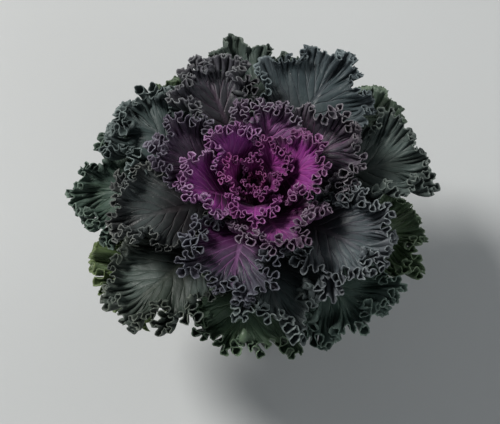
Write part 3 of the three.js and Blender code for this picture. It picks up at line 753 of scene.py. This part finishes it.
def leaf_material(n, name):
    rng = np.random.default_rng(500 + n)
    # random tone per leaf, times the table above, which also carries painted light and painted shade
    tone_and_light = float(1 + rng.uniform(-.2, .2)) * LEAF_TONE_AND_PAINTED_LIGHT.get(n, .86 if n < 7 else 1.0)
    warm = float(rng.uniform(-.08, .08)) * (.35 if n < 13 else 1)

    def shade(c, f=1.0):
        return (c[0] * tone_and_light * f * (1 + warm), c[1] * tone_and_light * f, c[2] * tone_and_light * f * (1 - warm))

    # the back leaf of the inner cup is already slate, unlike the ones beside it
    place = {11: 13.2, 8: 9.5}.get(n, n)
    blade, deep, fr, edge, veinc = (shade(paint(k, place)) for k in ("blade", "deep", "frill", "edge", "vein"))
    to = .64 if n == 15 else float(np.interp(place, STOPS, BASE_TO))
    g = Graph(name)
    d, rb, V = g.attr("margin_mm"), g.attr("along"), g.attr("ring")
    v, lw, side, rib = g.attr("vein"), g.attr("vein_gap"), g.attr("side"), g.attr("rib")
    # slow and fine mottling
    slow = g.noise(38, 2.0, .5, off=n * .37)
    fine = g.noise(420, 3.0, .6, off=n * .11)
    wob = g.noise(120, 2.0, .5, off=n * .23)
    # branching veins: first order at whole numbers, then forks that part from them further out
    vv = g.m("MULTIPLY_ADD", wob, 0.35, g.m("ADD", v, -0.175))
    off2 = g.m("MULTIPLY", g.span(V, .22, .62), 0.5)
    off3 = g.m("MULTIPLY", g.span(V, .55, .90), 0.25)
    d1 = g.m("MULTIPLY", g.m("PINGPONG", vv, 0.5), lw)
    d2 = g.m("MULTIPLY", g.m("PINGPONG", g.m("SUBTRACT", vv, off2), 0.5), lw)
    v3 = g.m("SUBTRACT", vv, off3)
    d3 = g.m("MULTIPLY", g.m("PINGPONG", v3, 0.5), lw)
    d4 = g.m("MULTIPLY", g.m("PINGPONG", g.m("SUBTRACT", v3, off2), 0.5), lw)
    w1 = g.span(V, 0, 1, 1.0, .34, "LINEAR")
    l1 = g.span(d1, 0, w1, 1, 0)
    l2 = g.span(d2, 0, g.m("MULTIPLY", w1, .75), 1, 0)
    l3 = g.m("MULTIPLY", g.span(g.m("MINIMUM", d3, d4), 0, .34, .8, 0), g.span(V, .5, .7))
    lines = g.m("MAXIMUM", l1, g.m("MAXIMUM", l2, l3))
    on = g.span(rb, 0.0, .05)
    lines = g.m("MULTIPLY", lines, on)
    mid = g.span(rib, .45, 1.15, 1, 0)
    lines = g.m("MAXIMUM", lines, mid)
    warp = g.node("ShaderNodeTexNoise")
    g.put(warp.inputs["Vector"], g.obj())
    warp.inputs["Scale"].default_value = 330
    warp.inputs["Detail"].default_value = 1.0
    bent = g.node("ShaderNodeVectorMath", operation="MULTIPLY_ADD")
    g.put(bent.inputs[0], warp.outputs["Color"])
    bent.inputs[1].default_value = (.0045, .0045, .0045)
    g.put(bent.inputs[2], g.obj())
    net = g.cells(390, rand=1.0, vec=bent.outputs[0])
    netl = g.m("MULTIPLY", g.m("MULTIPLY", g.span(net, .0, .16, 1, 0), on), g.span(slow, .35, .6, .45, 1))
    near = g.m("MINIMUM", g.m("MINIMUM", d1, d2), g.m("MINIMUM", d3, d4))
    puff = g.span(near, 0, 2.4)

    # colour
    reach = g.m("ADD", rb, g.m("MULTIPLY", g.m("ADD", slow, -.5), .35))
    base = g.span(reach, to * .35, to * 1.25, 1, 0)
    col = g.mix(base, blade, deep)
    if n <= 12:
        # painted shade: the hidden foot of each heart leaf is darkened, as if in the shade of the leaves above it
        col = g.mix(g.span(rb, .0, .62 if n > 5 else .5, .92, 0), col, (.020, .001, .009))
    elif n == 15:
        # painted shade near the foot of the front leaf
        col = g.mix(g.span(rb, .0, .36, .8, 0), col, (.020, .004, .014))
    else:
        # painted shade: each blade darkens towards its foot, where it lies in the shade of the leaves above
        col = g.mix(g.span(rb, .04, .74, .93, 0), col, (.011, .008, .011))
    soft = g.m("MULTIPLY", lines, g.span(rb, to * .6, to * 1.25 + .35, .85, .28 if n < 24 else .30))
    if n > 12 and n != 15:
        # the veins fade into the painted shade at the foot too
        soft = g.m("MULTIPLY", soft, g.span(rb, .10, .62, .30, .92))
    col = g.mix(soft, col, veinc)
    col = g.mix(g.m("MULTIPLY", netl, .12), col, veinc)
    col = g.mix(g.m("MULTIPLY", puff, .18), col, tuple(c * .72 for c in blade))
    if n > 12 and n != 15:
        # painted shade: the blades are darkened where they come out from under the magenta cup, as if in its shadow
        flat = g.node("ShaderNodeVectorMath", operation="MULTIPLY")
        g.put(flat.inputs[0], g.obj())
        flat.inputs[1].default_value = (1, 1, 0)
        far = g.node("ShaderNodeVectorMath", operation="LENGTH")
        g.put(far.inputs[0], flat.outputs[0])
        col = g.mix(g.span(far.outputs["Value"], .040, .068, .70, 0), col, (.010, .007, .010))
    # paler frill, palest at the very edge
    fw = float(np.interp(n, [0, 6, 12, 31], [3.0, 6.0, 12.0, 13.0]))
    dd = g.m("ADD", d, g.m("MULTIPLY", g.m("ADD", wob, -.5), 2.4))
    col = g.mix(g.span(dd, .3, fw, .92, 0), col, fr)
    col = g.mix(g.m("MULTIPLY", g.span(d, .1, .9, 1, 0), g.m("MULTIPLY", g.span(wob, .36, .62, .16, 1), g.span(slow, .38, .60, .45, 1))), col, tuple(c * 1.12 for c in edge))
    # waxy bloom in patches, and mottling
    bloom = g.m("MULTIPLY", g.span(slow, .42, .68), .18 if n > 12 else .10)
    col = g.mix(bloom, col, (.125, .175, .17) if n > 16 else (.16, .165, .20) if n > 12 else (.40, .16, .38))
    col = g.mix(1.0, col, g.mix(fine, (.80, .80, .80), (1.2, 1.2, 1.2)), "MULTIPLY")
    col = g.mix(1.0, col, g.mix(slow, (.78, .80, .78), (1.2, 1.19, 1.2)), "MULTIPLY")
    # a few specks of dried water and grit
    spot = g.m("MULTIPLY", g.span(g.cells(150, "F1"), .035, .06, .7, 0), g.span(wob, .50, .56))
    col = g.mix(spot, col, (.42, .44, .42))
    # underside: duller and paler
    under = tuple(0.55 * a + 0.45 * b for a, b in zip(blade, (.10, .12, .11) if n > 12 else (.16, .03, .14)))
    col = g.mix(g.m("MULTIPLY", side, g.span(d, .5, 4, .15, .6)), col, g.mix(g.m("MULTIPLY", lines, .5), under, veinc))
    # stalk
    stalk = (.12, .14, .085) if n > 25 else (.10, .075, .085) if n > 17 else (.13, .055, .10) if n > 12 else (.20, .05, .16)
    col = g.mix(g.span(rb, -.02, .04, .8, 0), col, stalk)

    # relief: sunken veins above, raised below
    sign = g.m("MULTIPLY_ADD", side, 2.0, -1.0)
    h = g.m("MULTIPLY", lines, sign)
    h = g.m("MULTIPLY_ADD", puff, .45, h)
    h = g.m("MULTIPLY_ADD", netl, -.13, h)
    h = g.m("MULTIPLY_ADD", fine, .26, h)
    b1 = g.bump(h, float(np.interp(n, [0, 8, 14, 31], [.00018, .0003, .0004, .0004])))
    grain = g.noise(2600, 1.0, .5)
    b2 = g.bump(grain, .00004, 1.0, b1)
    rough = g.m("ADD", g.span(fine, .3, .7, .44, .60), g.m("MULTIPLY", lines, -.06))
    p = g.skin(col, rough, b2, Specular_IOR_Level=.42 if n < 13 else .36, Sheen_Weight=.12, Sheen_Roughness=.35,
               Sheen_Tint=(.75, .82, .88))
    tr = g.node("ShaderNodeBsdfTranslucent")
    g.put(tr.inputs["Color"], g.mix(.5, col, (.45, .03, .30) if n <= 12 else (.10, .16, .04)))
    g.put(tr.inputs["Normal"], b1)
    mx = g.node("ShaderNodeMixShader")
    mx.inputs[0].default_value = .10 if n <= 12 else .06
    g.nt.links.new(p.outputs[0], mx.inputs[1])
    g.nt.links.new(tr.outputs[0], mx.inputs[2])
    g.nt.links.new(mx.outputs[0], g.out.inputs["Surface"])
    return g.mat


def to_scene(me, name, mat):
    o = bpy.data.objects.new(name, me)
    bpy.context.scene.collection.objects.link(o)
    me.materials.append(mat)
    return o


ROWS = [dict(zip(KEYS, row)) for row in LEAVES]
ROOM = clearances(ROWS)
for n, L in enumerate(ROWS):
    lf = Leaf(L, 100 + n, frill(n))
    lf.room, lf.under = ROOM[n]
    V, F, flat, dat, side, uv = lf.solve().build()
    me = make_mesh(L["name"] + "_blade", V, F, flat)
    d, u, vv, s, x, vein, gap, ci, ring = dat.T
    ribw = L["wp"] * 0.5 * (1 - 0.80 * np.clip((s - L["lp"]) / L["lb"], 0, 1) ** 0.8)
    attr(me, "margin_mm", d)
    attr(me, "along", (s - L["lp"]) / L["lb"])
    attr(me, "ring", np.where(ring < 0, 0.0, vv))
    attr(me, "vein", vein)
    attr(me, "vein_gap", gap)
    attr(me, "side", side)
    attr(me, "rib", np.abs(x) / np.maximum(ribw, .2))
    layer = me.uv_layers.new(name="OFBake")
    layer.uv.foreach_set("vector", uv.astype(np.float32).ravel())
    o = to_scene(me, L["name"] + "_blade", leaf_material(n, L["name"] + "_skin"))
    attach(o, "root")
    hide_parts(L["name"])


# ---------------------------------------------------------------------------
# Pot, soil and stem
# ---------------------------------------------------------------------------
def value_noise(p, cell, seed):
    """Smooth random value at each point, about 0 to 1."""
    q = np.asarray(p, float) / cell
    i = np.floor(q).astype(np.int64)
    f = q - i
    f = f * f * (3 - 2 * f)

    def rnd(a):
        h = (a[..., 0] * 73856093) ^ (a[..., 1] * 19349663) ^ (a[..., 2] * 83492791) ^ (seed * 2654435761)
        h = (h ^ (h >> 13)) * 1274126177 & 0x7FFFFFFF
        return ((h ^ (h >> 16)) & 0xFFFF) / 65535.0
    out = 0
    for dx in (0, 1):
        for dy in (0, 1):
            for dz in (0, 1):
                w = (f[..., 0] if dx else 1 - f[..., 0]) * (f[..., 1] if dy else 1 - f[..., 1]) * (f[..., 2] if dz else 1 - f[..., 2])
                out = out + w * rnd(i + np.array([dx, dy, dz]))
    return out


def turned(profile, n):
    """Closed solid of revolution: points and triangles; the profile starts and ends on the axis."""
    prof = np.array(profile, float)
    a = np.arange(n) * 2 * np.pi / n
    rings = prof[1:-1]
    P = np.stack([rings[:, None, 0] * np.cos(a), rings[:, None, 0] * np.sin(a), np.repeat(rings[:, 1:2], n, 1)], -1)
    m = len(rings)
    V = np.concatenate([P.reshape(-1, 3), [[0, 0, prof[0, 1]], [0, 0, prof[-1, 1]]]])
    i, j = np.meshgrid(np.arange(m - 1), np.arange(n), indexing="ij")
    k = (j + 1) % n
    A, B, C, D = i * n + j, i * n + k, (i + 1) * n + k, (i + 1) * n + j
    F = [np.stack([A, B, C], -1).reshape(-1, 3), np.stack([A, C, D], -1).reshape(-1, 3)]
    jj = np.arange(n)
    F.append(np.stack([np.full(n, m * n), (jj + 1) % n, jj], -1))
    F.append(np.stack([np.full(n, m * n + 1), (m - 1) * n + jj, (m - 1) * n + (jj + 1) % n], -1))
    F = np.concatenate(F)
    vol = np.einsum("ij,ij->i", V[F[:, 0]], np.cross(V[F[:, 1]], V[F[:, 2]])).sum()
    return V, (F if vol > 0 else F[:, [0, 2, 1]])


def dense(points, step):
    out = [points[0]]
    for a, b in zip(points[:-1], points[1:]):
        k = max(1, int(math.ceil(math.dist(a, b) / step)))
        out += [(a[0] + (b[0] - a[0]) * i / k, a[1] + (b[1] - a[1]) * i / k) for i in range(1, k + 1)]
    return out


def rounded(points, r, k=4):
    """Corners of an open profile rounded off."""
    out = [points[0]]
    for p, q, s in zip(points[:-2], points[1:-1], points[2:]):
        a, b = math.dist(p, q), math.dist(q, s)
        d = min(r, .45 * a, .45 * b)
        A = (q[0] + (p[0] - q[0]) * d / a, q[1] + (p[1] - q[1]) * d / a)
        B = (q[0] + (s[0] - q[0]) * d / b, q[1] + (s[1] - q[1]) * d / b)
        for i in range(k + 1):
            t = i / k
            out.append(tuple((1 - t) ** 2 * A[c] + 2 * t * (1 - t) * q[c] + t * t * B[c] for c in (0, 1)))
    return out + [points[-1]]


BASE_R, COLLAR, WALL, FLOOR_T, TOP_R, HIGH = 43.0, 90.0, 1.8, 2.4, 61.0, 107.0


def wall_r(z):
    return BASE_R + (z / COLLAR) * (56.4 - BASE_R)


outer = [(0, .9), (36.6, .9), (37.6, 0), (BASE_R - 1.2, 0), (BASE_R, 1.2),
         (wall_r(COLLAR - 1), COLLAR - 1), (57.8, COLLAR + .6), (58.6, HIGH - 4.2), (60.4, HIGH - 3.9),
         (TOP_R, HIGH - 3.0), (TOP_R, HIGH - .9), (60.3, HIGH), (57.8, HIGH), (57.0, HIGH - .9),
         (56.1, COLLAR + 1.6), (wall_r(COLLAR - 1) - WALL, COLLAR - 1.2),
         (wall_r(FLOOR_T + 1.2) - WALL, FLOOR_T + 1.2), (BASE_R - WALL - 1.2, FLOOR_T), (0, FLOOR_T)]
V, F = turned(dense(rounded(outer, .7), 7.0), 132)
pot_me = make_mesh("pot_shell", V, F)
CV, CF = [], []
for i in range(8):
    a = (i + .5) * math.pi / 4
    v, f = turned([(0, -4), (4.0, -4), (4.0, 8), (0, 8)], 28)
    CF.append(f + sum(len(c) for c in CV))
    CV.append(v + [31.5 * math.cos(a), 31.5 * math.sin(a), 0])
cut = bpy.data.objects.new("drain_cutter", make_mesh("drain_cutter", np.concatenate(CV), np.concatenate(CF)))
bpy.context.scene.collection.objects.link(cut)
pot = bpy.data.objects.new("pot_shell", pot_me)
bpy.context.scene.collection.objects.link(pot)
bm = pot.modifiers.new("drain", "BOOLEAN")
bm.operation, bm.solver, bm.object = "DIFFERENCE", "EXACT", cut
bpy.context.view_layer.update()
done = bpy.data.meshes.new_from_object(pot.evaluated_get(bpy.context.evaluated_depsgraph_get()))
pot.modifiers.clear()
pot.data = done
done.name = "pot_shell"
bpy.data.objects.remove(cut)
b = bmesh.new()
b.from_mesh(done)
bmesh.ops.remove_doubles(b, verts=b.verts, dist=3e-5)
bmesh.ops.triangulate(b, faces=b.faces, quad_method="BEAUTY", ngon_method="BEAUTY")
b.to_mesh(done)
b.free()
done.polygons.foreach_set("use_smooth", np.ones(len(done.polygons), bool))
done.set_sharp_from_angle(angle=math.radians(38))

g = Graph("pot_plastic")
geo = g.obj()
sep = g.node("ShaderNodeSeparateXYZ")
g.put(sep.inputs[0], geo)
z = sep.outputs[2]
slow, fine, grit = g.noise(22, 3, .55), g.noise(900, 3, .6), g.noise(240, 4, .65, off=.4)
col = g.mix(slow, (.014, .015, .016), (.026, .027, .028))
# water marks and dried soil: at the foot, under the rim and in faint runs
runs = g.node("ShaderNodeMapping")
runs.inputs["Scale"].default_value = (1, 1, .08)
g.put(runs.inputs["Vector"], geo)
streak = g.noise(150, 3, .6, vec=runs.outputs[0])
dust = g.m("MULTIPLY", g.span(streak, .50, .74), g.span(z, .015, .095, .55, .22))
dust = g.m("MAXIMUM", dust, g.m("MULTIPLY", g.span(z, .0, .018, .75, 0), g.span(grit, .35, .65)))
dust = g.m("MAXIMUM", dust, g.m("MULTIPLY", g.span(z, .084, .0895, 0, .5), g.span(z, .0895, .0925, 1, 0)))
col = g.mix(g.m("MULTIPLY", dust, .55), col, (.115, .092, .070))
specks = g.span(g.cells(700, "F1"), .10, .22, 1, 0)
specks = g.m("MULTIPLY", specks, g.span(grit, .52, .66))
col = g.mix(g.m("MULTIPLY", specks, .5), col, (.085, .065, .05))
# fine rub marks on the rim
scr = g.node("ShaderNodeMapping")
scr.inputs["Scale"].default_value = (1, 1, 26)
g.put(scr.inputs["Vector"], geo)
rub = g.m("MULTIPLY", g.span(g.noise(60, 4, .7, vec=scr.outputs[0]), .56, .70), g.span(z, .1025, .1045))
col = g.mix(g.m("MULTIPLY", rub, .35), col, (.10, .10, .10))
rough = g.m("ADD", g.span(fine, .3, .7, .34, .46), g.m("MULTIPLY", g.m("MAXIMUM", dust, specks), .35))
h = g.m("MULTIPLY_ADD", specks, .8, g.m("MULTIPLY", fine, .35))
p = g.skin(col, rough, g.bump(h, .00012), Specular_IOR_Level=.5)
g.nt.links.new(p.outputs[0], g.out.inputs["Surface"])
done.materials.clear()
done.materials.append(g.mat)
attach(pot, "root")
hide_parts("pot")

# stem: tapering, with the scars of shed leaves
STEM = [(0, 62.0), (4.6, 62.0), (6.6, 74.0), (8.2, 88.0), (8.4, 104.0), (7.8, 120.0), (6.2, 136.0),
        (4.6, 146.0), (2.8, 152.0), (1.2, 153.4), (0, 153.8)]
prof = [(0, 62.0)] + dense(rounded(STEM[1:-1], 3.0), 1.1) + [(0, 153.8)]
V, F = turned(prof, 56)
ang, zz, rr = np.arctan2(V[:, 1], V[:, 0]), V[:, 2], np.hypot(V[:, 0], V[:, 1])
swell = 0.30 * (value_noise(V, 5.0, 3) - .5) + .12 * (value_noise(V, 1.4, 4) - .5)
scar = np.zeros(len(V))
for k in range(9):
    za, az = 95.8 + 1.15 * k, (208.1 - 137.5 * (k + 1)) * DEG
    da = (ang - az + np.pi) % (2 * np.pi) - np.pi
    q = np.hypot(da * 8.4 / 3.6, (zz - za) / 1.3)
    scar = np.maximum(scar, np.exp(-(q * q)) * (zz < 108))
swell = np.minimum(swell - .05, .12) + .16 * np.exp(-((scar - .45) / .18) ** 2) - .18 * (scar > .62)
k = np.where(rr > 1.5, (rr + swell) / np.maximum(rr, 1e-6), 1)
V[:, 0] *= k
V[:, 1] *= k
stem_me = make_mesh("stem_core", V, F)
attr(stem_me, "scar", scar)
g = Graph("stem_bark")
g.put((mp := g.node("ShaderNodeMapping")).inputs["Vector"], g.obj())
mp.inputs["Scale"].default_value = (1, 1, .25)
fib, mot = g.noise(700, 3, .6, vec=mp.outputs[0]), g.noise(160, 3, .6)
sep = g.node("ShaderNodeSeparateXYZ")
g.put(sep.inputs[0], g.obj())
up = g.span(sep.outputs[2], .092, .120)
col = g.mix(up, (.115, .085, .05), (.13, .15, .08))
col = g.mix(g.span(sep.outputs[2], .100, .118), col, (.09, .018, .06))
col = g.mix(g.m("MULTIPLY", g.span(mot, .45, .7), .5), col, (.20, .17, .11))
col = g.mix(g.m("MULTIPLY", g.span(fib, .45, .7), .35), col, (.06, .045, .03))
col = g.mix(g.m("MULTIPLY", g.span(g.attr("scar"), .3, .6), .7), col, (.24, .19, .12))
p = g.skin(col, g.span(mot, .3, .7, .6, .8), g.bump(g.m("ADD", fib, mot), .0003), Specular_IOR_Level=.3)
g.nt.links.new(p.outputs[0], g.out.inputs["Surface"])
stem = to_scene(stem_me, "stem_core", g.mat)
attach(stem, "root")
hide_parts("stem")

# soil: a crumbly top, closed down the pot
GAP = .4
low_part = [(0, 2.8), (BASE_R - WALL - 1.2 - GAP, 2.8), (wall_r(3.6) - WALL - GAP, 4.0), (wall_r(89) - WALL - GAP, 88.8)]
low_part = dense(low_part, 14.0)
top_edge = dense([(55.2, 91.0), (48, 92.2), (34, 93.3), (20, 94.0), (9.4, 93.8)], .8)
hole = [(8.75, 93.2), (8.6, 88.0), (7.0, 74.0), (5.0, 62.0), (4.0, 61.4), (0, 61.4)]
V, F = turned(low_part + top_edge + hole, 232)
rr = np.hypot(V[:, 0], V[:, 1])
top = (V[:, 2] > 90.5) & (rr > 9.0) & (rr < 55.3)
b = (value_noise(V, 9.0, 11) - .5) * 2.2 + (value_noise(V, 3.6, 12) - .5) * 1.7
clod = np.abs(value_noise(V * [1, 1, .01], 2.3, 13) - .5) * 2
c2 = np.abs(value_noise(V * [1, 1, .01], 1.25, 14) - .5) * 2
b = b + (.6 - clod) * 1.3 + (.5 - c2) * .7
fade = np.clip((rr - 9.0) / 3, 0, 1) * np.clip((55.3 - rr) / 2.5, 0, 1)
V[:, 2] += np.where(top, b * fade - .6, 0)
rng = np.random.default_rng(77)


def pebble(rng, size, flatness):
    """A small irregular lump."""
    t = (1 + 5 ** .5) / 2
    P = np.array([(-1, t, 0), (1, t, 0), (-1, -t, 0), (1, -t, 0), (0, -1, t), (0, 1, t), (0, -1, -t), (0, 1, -t),
                  (t, 0, -1), (t, 0, 1), (-t, 0, -1), (-t, 0, 1)], float)
    T = [(0, 11, 5), (0, 5, 1), (0, 1, 7), (0, 7, 10), (0, 10, 11), (1, 5, 9), (5, 11, 4), (11, 10, 2), (10, 7, 6),
         (7, 1, 8), (3, 9, 4), (3, 4, 2), (3, 2, 6), (3, 6, 8), (3, 8, 9), (4, 9, 5), (2, 4, 11), (6, 2, 10), (8, 6, 7), (9, 8, 1)]
    P = [unit(p) for p in P]
    mid, T2 = {}, []
    for a, b, c in T:
        m = []
        for i, j in ((a, b), (b, c), (c, a)):
            k = (min(i, j), max(i, j))
            if k not in mid:
                mid[k] = len(P)
                P.append(unit(P[i] + P[j]))
            m.append(mid[k])
        T2 += [(a, m[0], m[2]), (b, m[1], m[0]), (c, m[2], m[1]), (m[0], m[1], m[2])]
    P = np.array(P)
    P = P * (1 + .45 * (value_noise(P + rng.uniform(0, 90), .8, 5) - .5)[:, None])
    P = P * size * np.array([1, rng.uniform(.6, 1), flatness])
    a = rng.uniform(0, 2 * np.pi)
    R = np.array([[math.cos(a), -math.sin(a), 0], [math.sin(a), math.cos(a), 0], [0, 0, 1]])
    return P @ R.T, np.array(T2)


AV, AF, kind = [V], [F], [np.zeros(len(V))]
count = len(V)
surface = V[top]
for i in range(300):
    white = i % 9 == 0
    r = math.sqrt(rng.uniform(.035, .90)) * 55.3
    a = rng.uniform(0, 2 * np.pi)
    size = rng.uniform(.55, 1.25) if not white else rng.uniform(.7, 1.35)
    x, y = r * math.cos(a), r * math.sin(a)
    near = surface[np.argmin((surface[:, 0] - x) ** 2 + (surface[:, 1] - y) ** 2)]
    P, T = pebble(rng, size, rng.uniform(.55, .9))
    P = P + [x, y, near[2] + .15 * size]
    AV.append(P)
    AF.append(T + count)
    kind.append(np.full(len(P), 1.0 if white else .35 + .3 * rng.random()))
    count += len(P)
V, F, kind = np.concatenate(AV), np.concatenate(AF), np.concatenate(kind)
soil_me = make_mesh("soil_top", V, F)
attr(soil_me, "grain", kind)
g = Graph("soil_peat")
a1, a2, a3 = g.noise(90, 4, .6), g.noise(520, 4, .7), g.noise(1800, 2, .6)
col = g.mix(g.span(a1, .35, .65), (.020, .012, .008), (.052, .033, .020))
col = g.mix(g.m("MULTIPLY", g.span(a2, .5, .72), .55), col, (.105, .070, .042))
col = g.mix(g.m("MULTIPLY", g.span(a3, .55, .75), .4), col, (.014, .009, .006))
kd = g.attr("grain")
col = g.mix(g.m("MULTIPLY", g.span(kd, .3, .5), .35), col, (.075, .046, .026))
col = g.mix(g.span(kd, .85, .95), col, g.mix(g.span(a2, .3, .7), (.52, .50, .45), (.68, .66, .61)))
h = g.m("MULTIPLY_ADD", a2, .8, g.m("MULTIPLY", a3, .5))
p = g.skin(col, g.span(a2, .3, .7, .82, .97), g.bump(h, .0007), Specular_IOR_Level=.22)
g.nt.links.new(p.outputs[0], g.out.inputs["Surface"])
soil = to_scene(soil_me, "soil_top", g.mat)
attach(soil, "root")
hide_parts("potting_soil")

# ---------------------------------------------------------------------------
# Floor, light and camera
# ---------------------------------------------------------------------------
prof = [(0.0, 0.0), (1900.0, 0.0)] + [(1900 + 1300 * math.sin(t), 1300 * (1 - math.cos(t))) for t in np.linspace(.12, 1.45, 14)]
n = 96
a = np.arange(n) * 2 * np.pi / n
P = np.array([[r * np.cos(a), r * np.sin(a), np.full(n, zz - .02)] for r, zz in prof[1:]]).transpose(0, 2, 1)
V = np.concatenate([P.reshape(-1, 3), [[0, 0, -.02]]])
F = [(len(V) - 1, j, (j + 1) % n) for j in range(n)]
for i in range(len(prof) - 2):
    for j in range(n):
        k = (j + 1) % n
        F += [(i * n + j, (i + 1) * n + j, (i + 1) * n + k), (i * n + j, (i + 1) * n + k, i * n + k)]
g = Graph("floor_paper")
f1, f2 = g.noise(3, 2, .5), g.noise(900, 2, .5)
col = g.mix(f1, (.53, .545, .545), (.57, .582, .582))
sep = g.node("ShaderNodeSeparateXYZ")
g.put(sep.inputs[0], g.obj())
far = g.m("SQRT", g.m("ADD", g.m("MULTIPLY", sep.outputs[0], sep.outputs[0]), g.m("MULTIPLY", sep.outputs[1], sep.outputs[1])))
# painted light: the curved wall is paler than the floor, to make up for the weaker lamp light that reaches it
col = g.mix(g.span(far, 1.0, 2.2), col, (.90, .91, .91))
p = g.skin(col, .85, g.bump(f2, .00005), Specular_IOR_Level=.2)
g.nt.links.new(p.outputs[0], g.out.inputs["Surface"])
floor = to_scene(make_mesh("floor", V, np.array(F)), "floor", g.mat)

scene = bpy.context.scene
world = bpy.data.worlds.new("soft_room")
scene.world = world
world.use_nodes = True
bg = world.node_tree.nodes["Background"]
bg.inputs[0].default_value = (.86, .93, 1.0, 1)
bg.inputs[1].default_value = WORLD


def lamp(name, at, to, size, power, colour=(1, 1, 1)):
    li = bpy.data.lights.new(name, "AREA")
    li.shape, li.size, li.energy, li.color = "DISK", size, power, colour
    o = bpy.data.objects.new(name, li)
    o.location = at
    o.rotation_euler = (Vector(to) - Vector(at)).to_track_quat("-Z", "Y").to_euler()
    scene.collection.objects.link(o)


for spec in LAMPS:
    lamp(*spec)

scene.view_settings.view_transform = "Standard"
scene.view_settings.look = "None"
scene.view_settings.exposure = 0.0
scene.view_settings.gamma = 1.0

camera = bpy.data.cameras.new("camera")
camera.lens = 100
cam = bpy.data.objects.new("camera", camera)
scene.collection.objects.link(cam)
aim = Vector(AIM)
el, az = ELEV * DEG, AZIM * DEG
cam.location = aim + Vector((math.sin(az) * math.cos(el), -math.cos(az) * math.cos(el), math.sin(el))) * DIST
cam.rotation_euler = (aim - cam.location).to_track_quat("-Z", "Y").to_euler()
scene.camera = cam
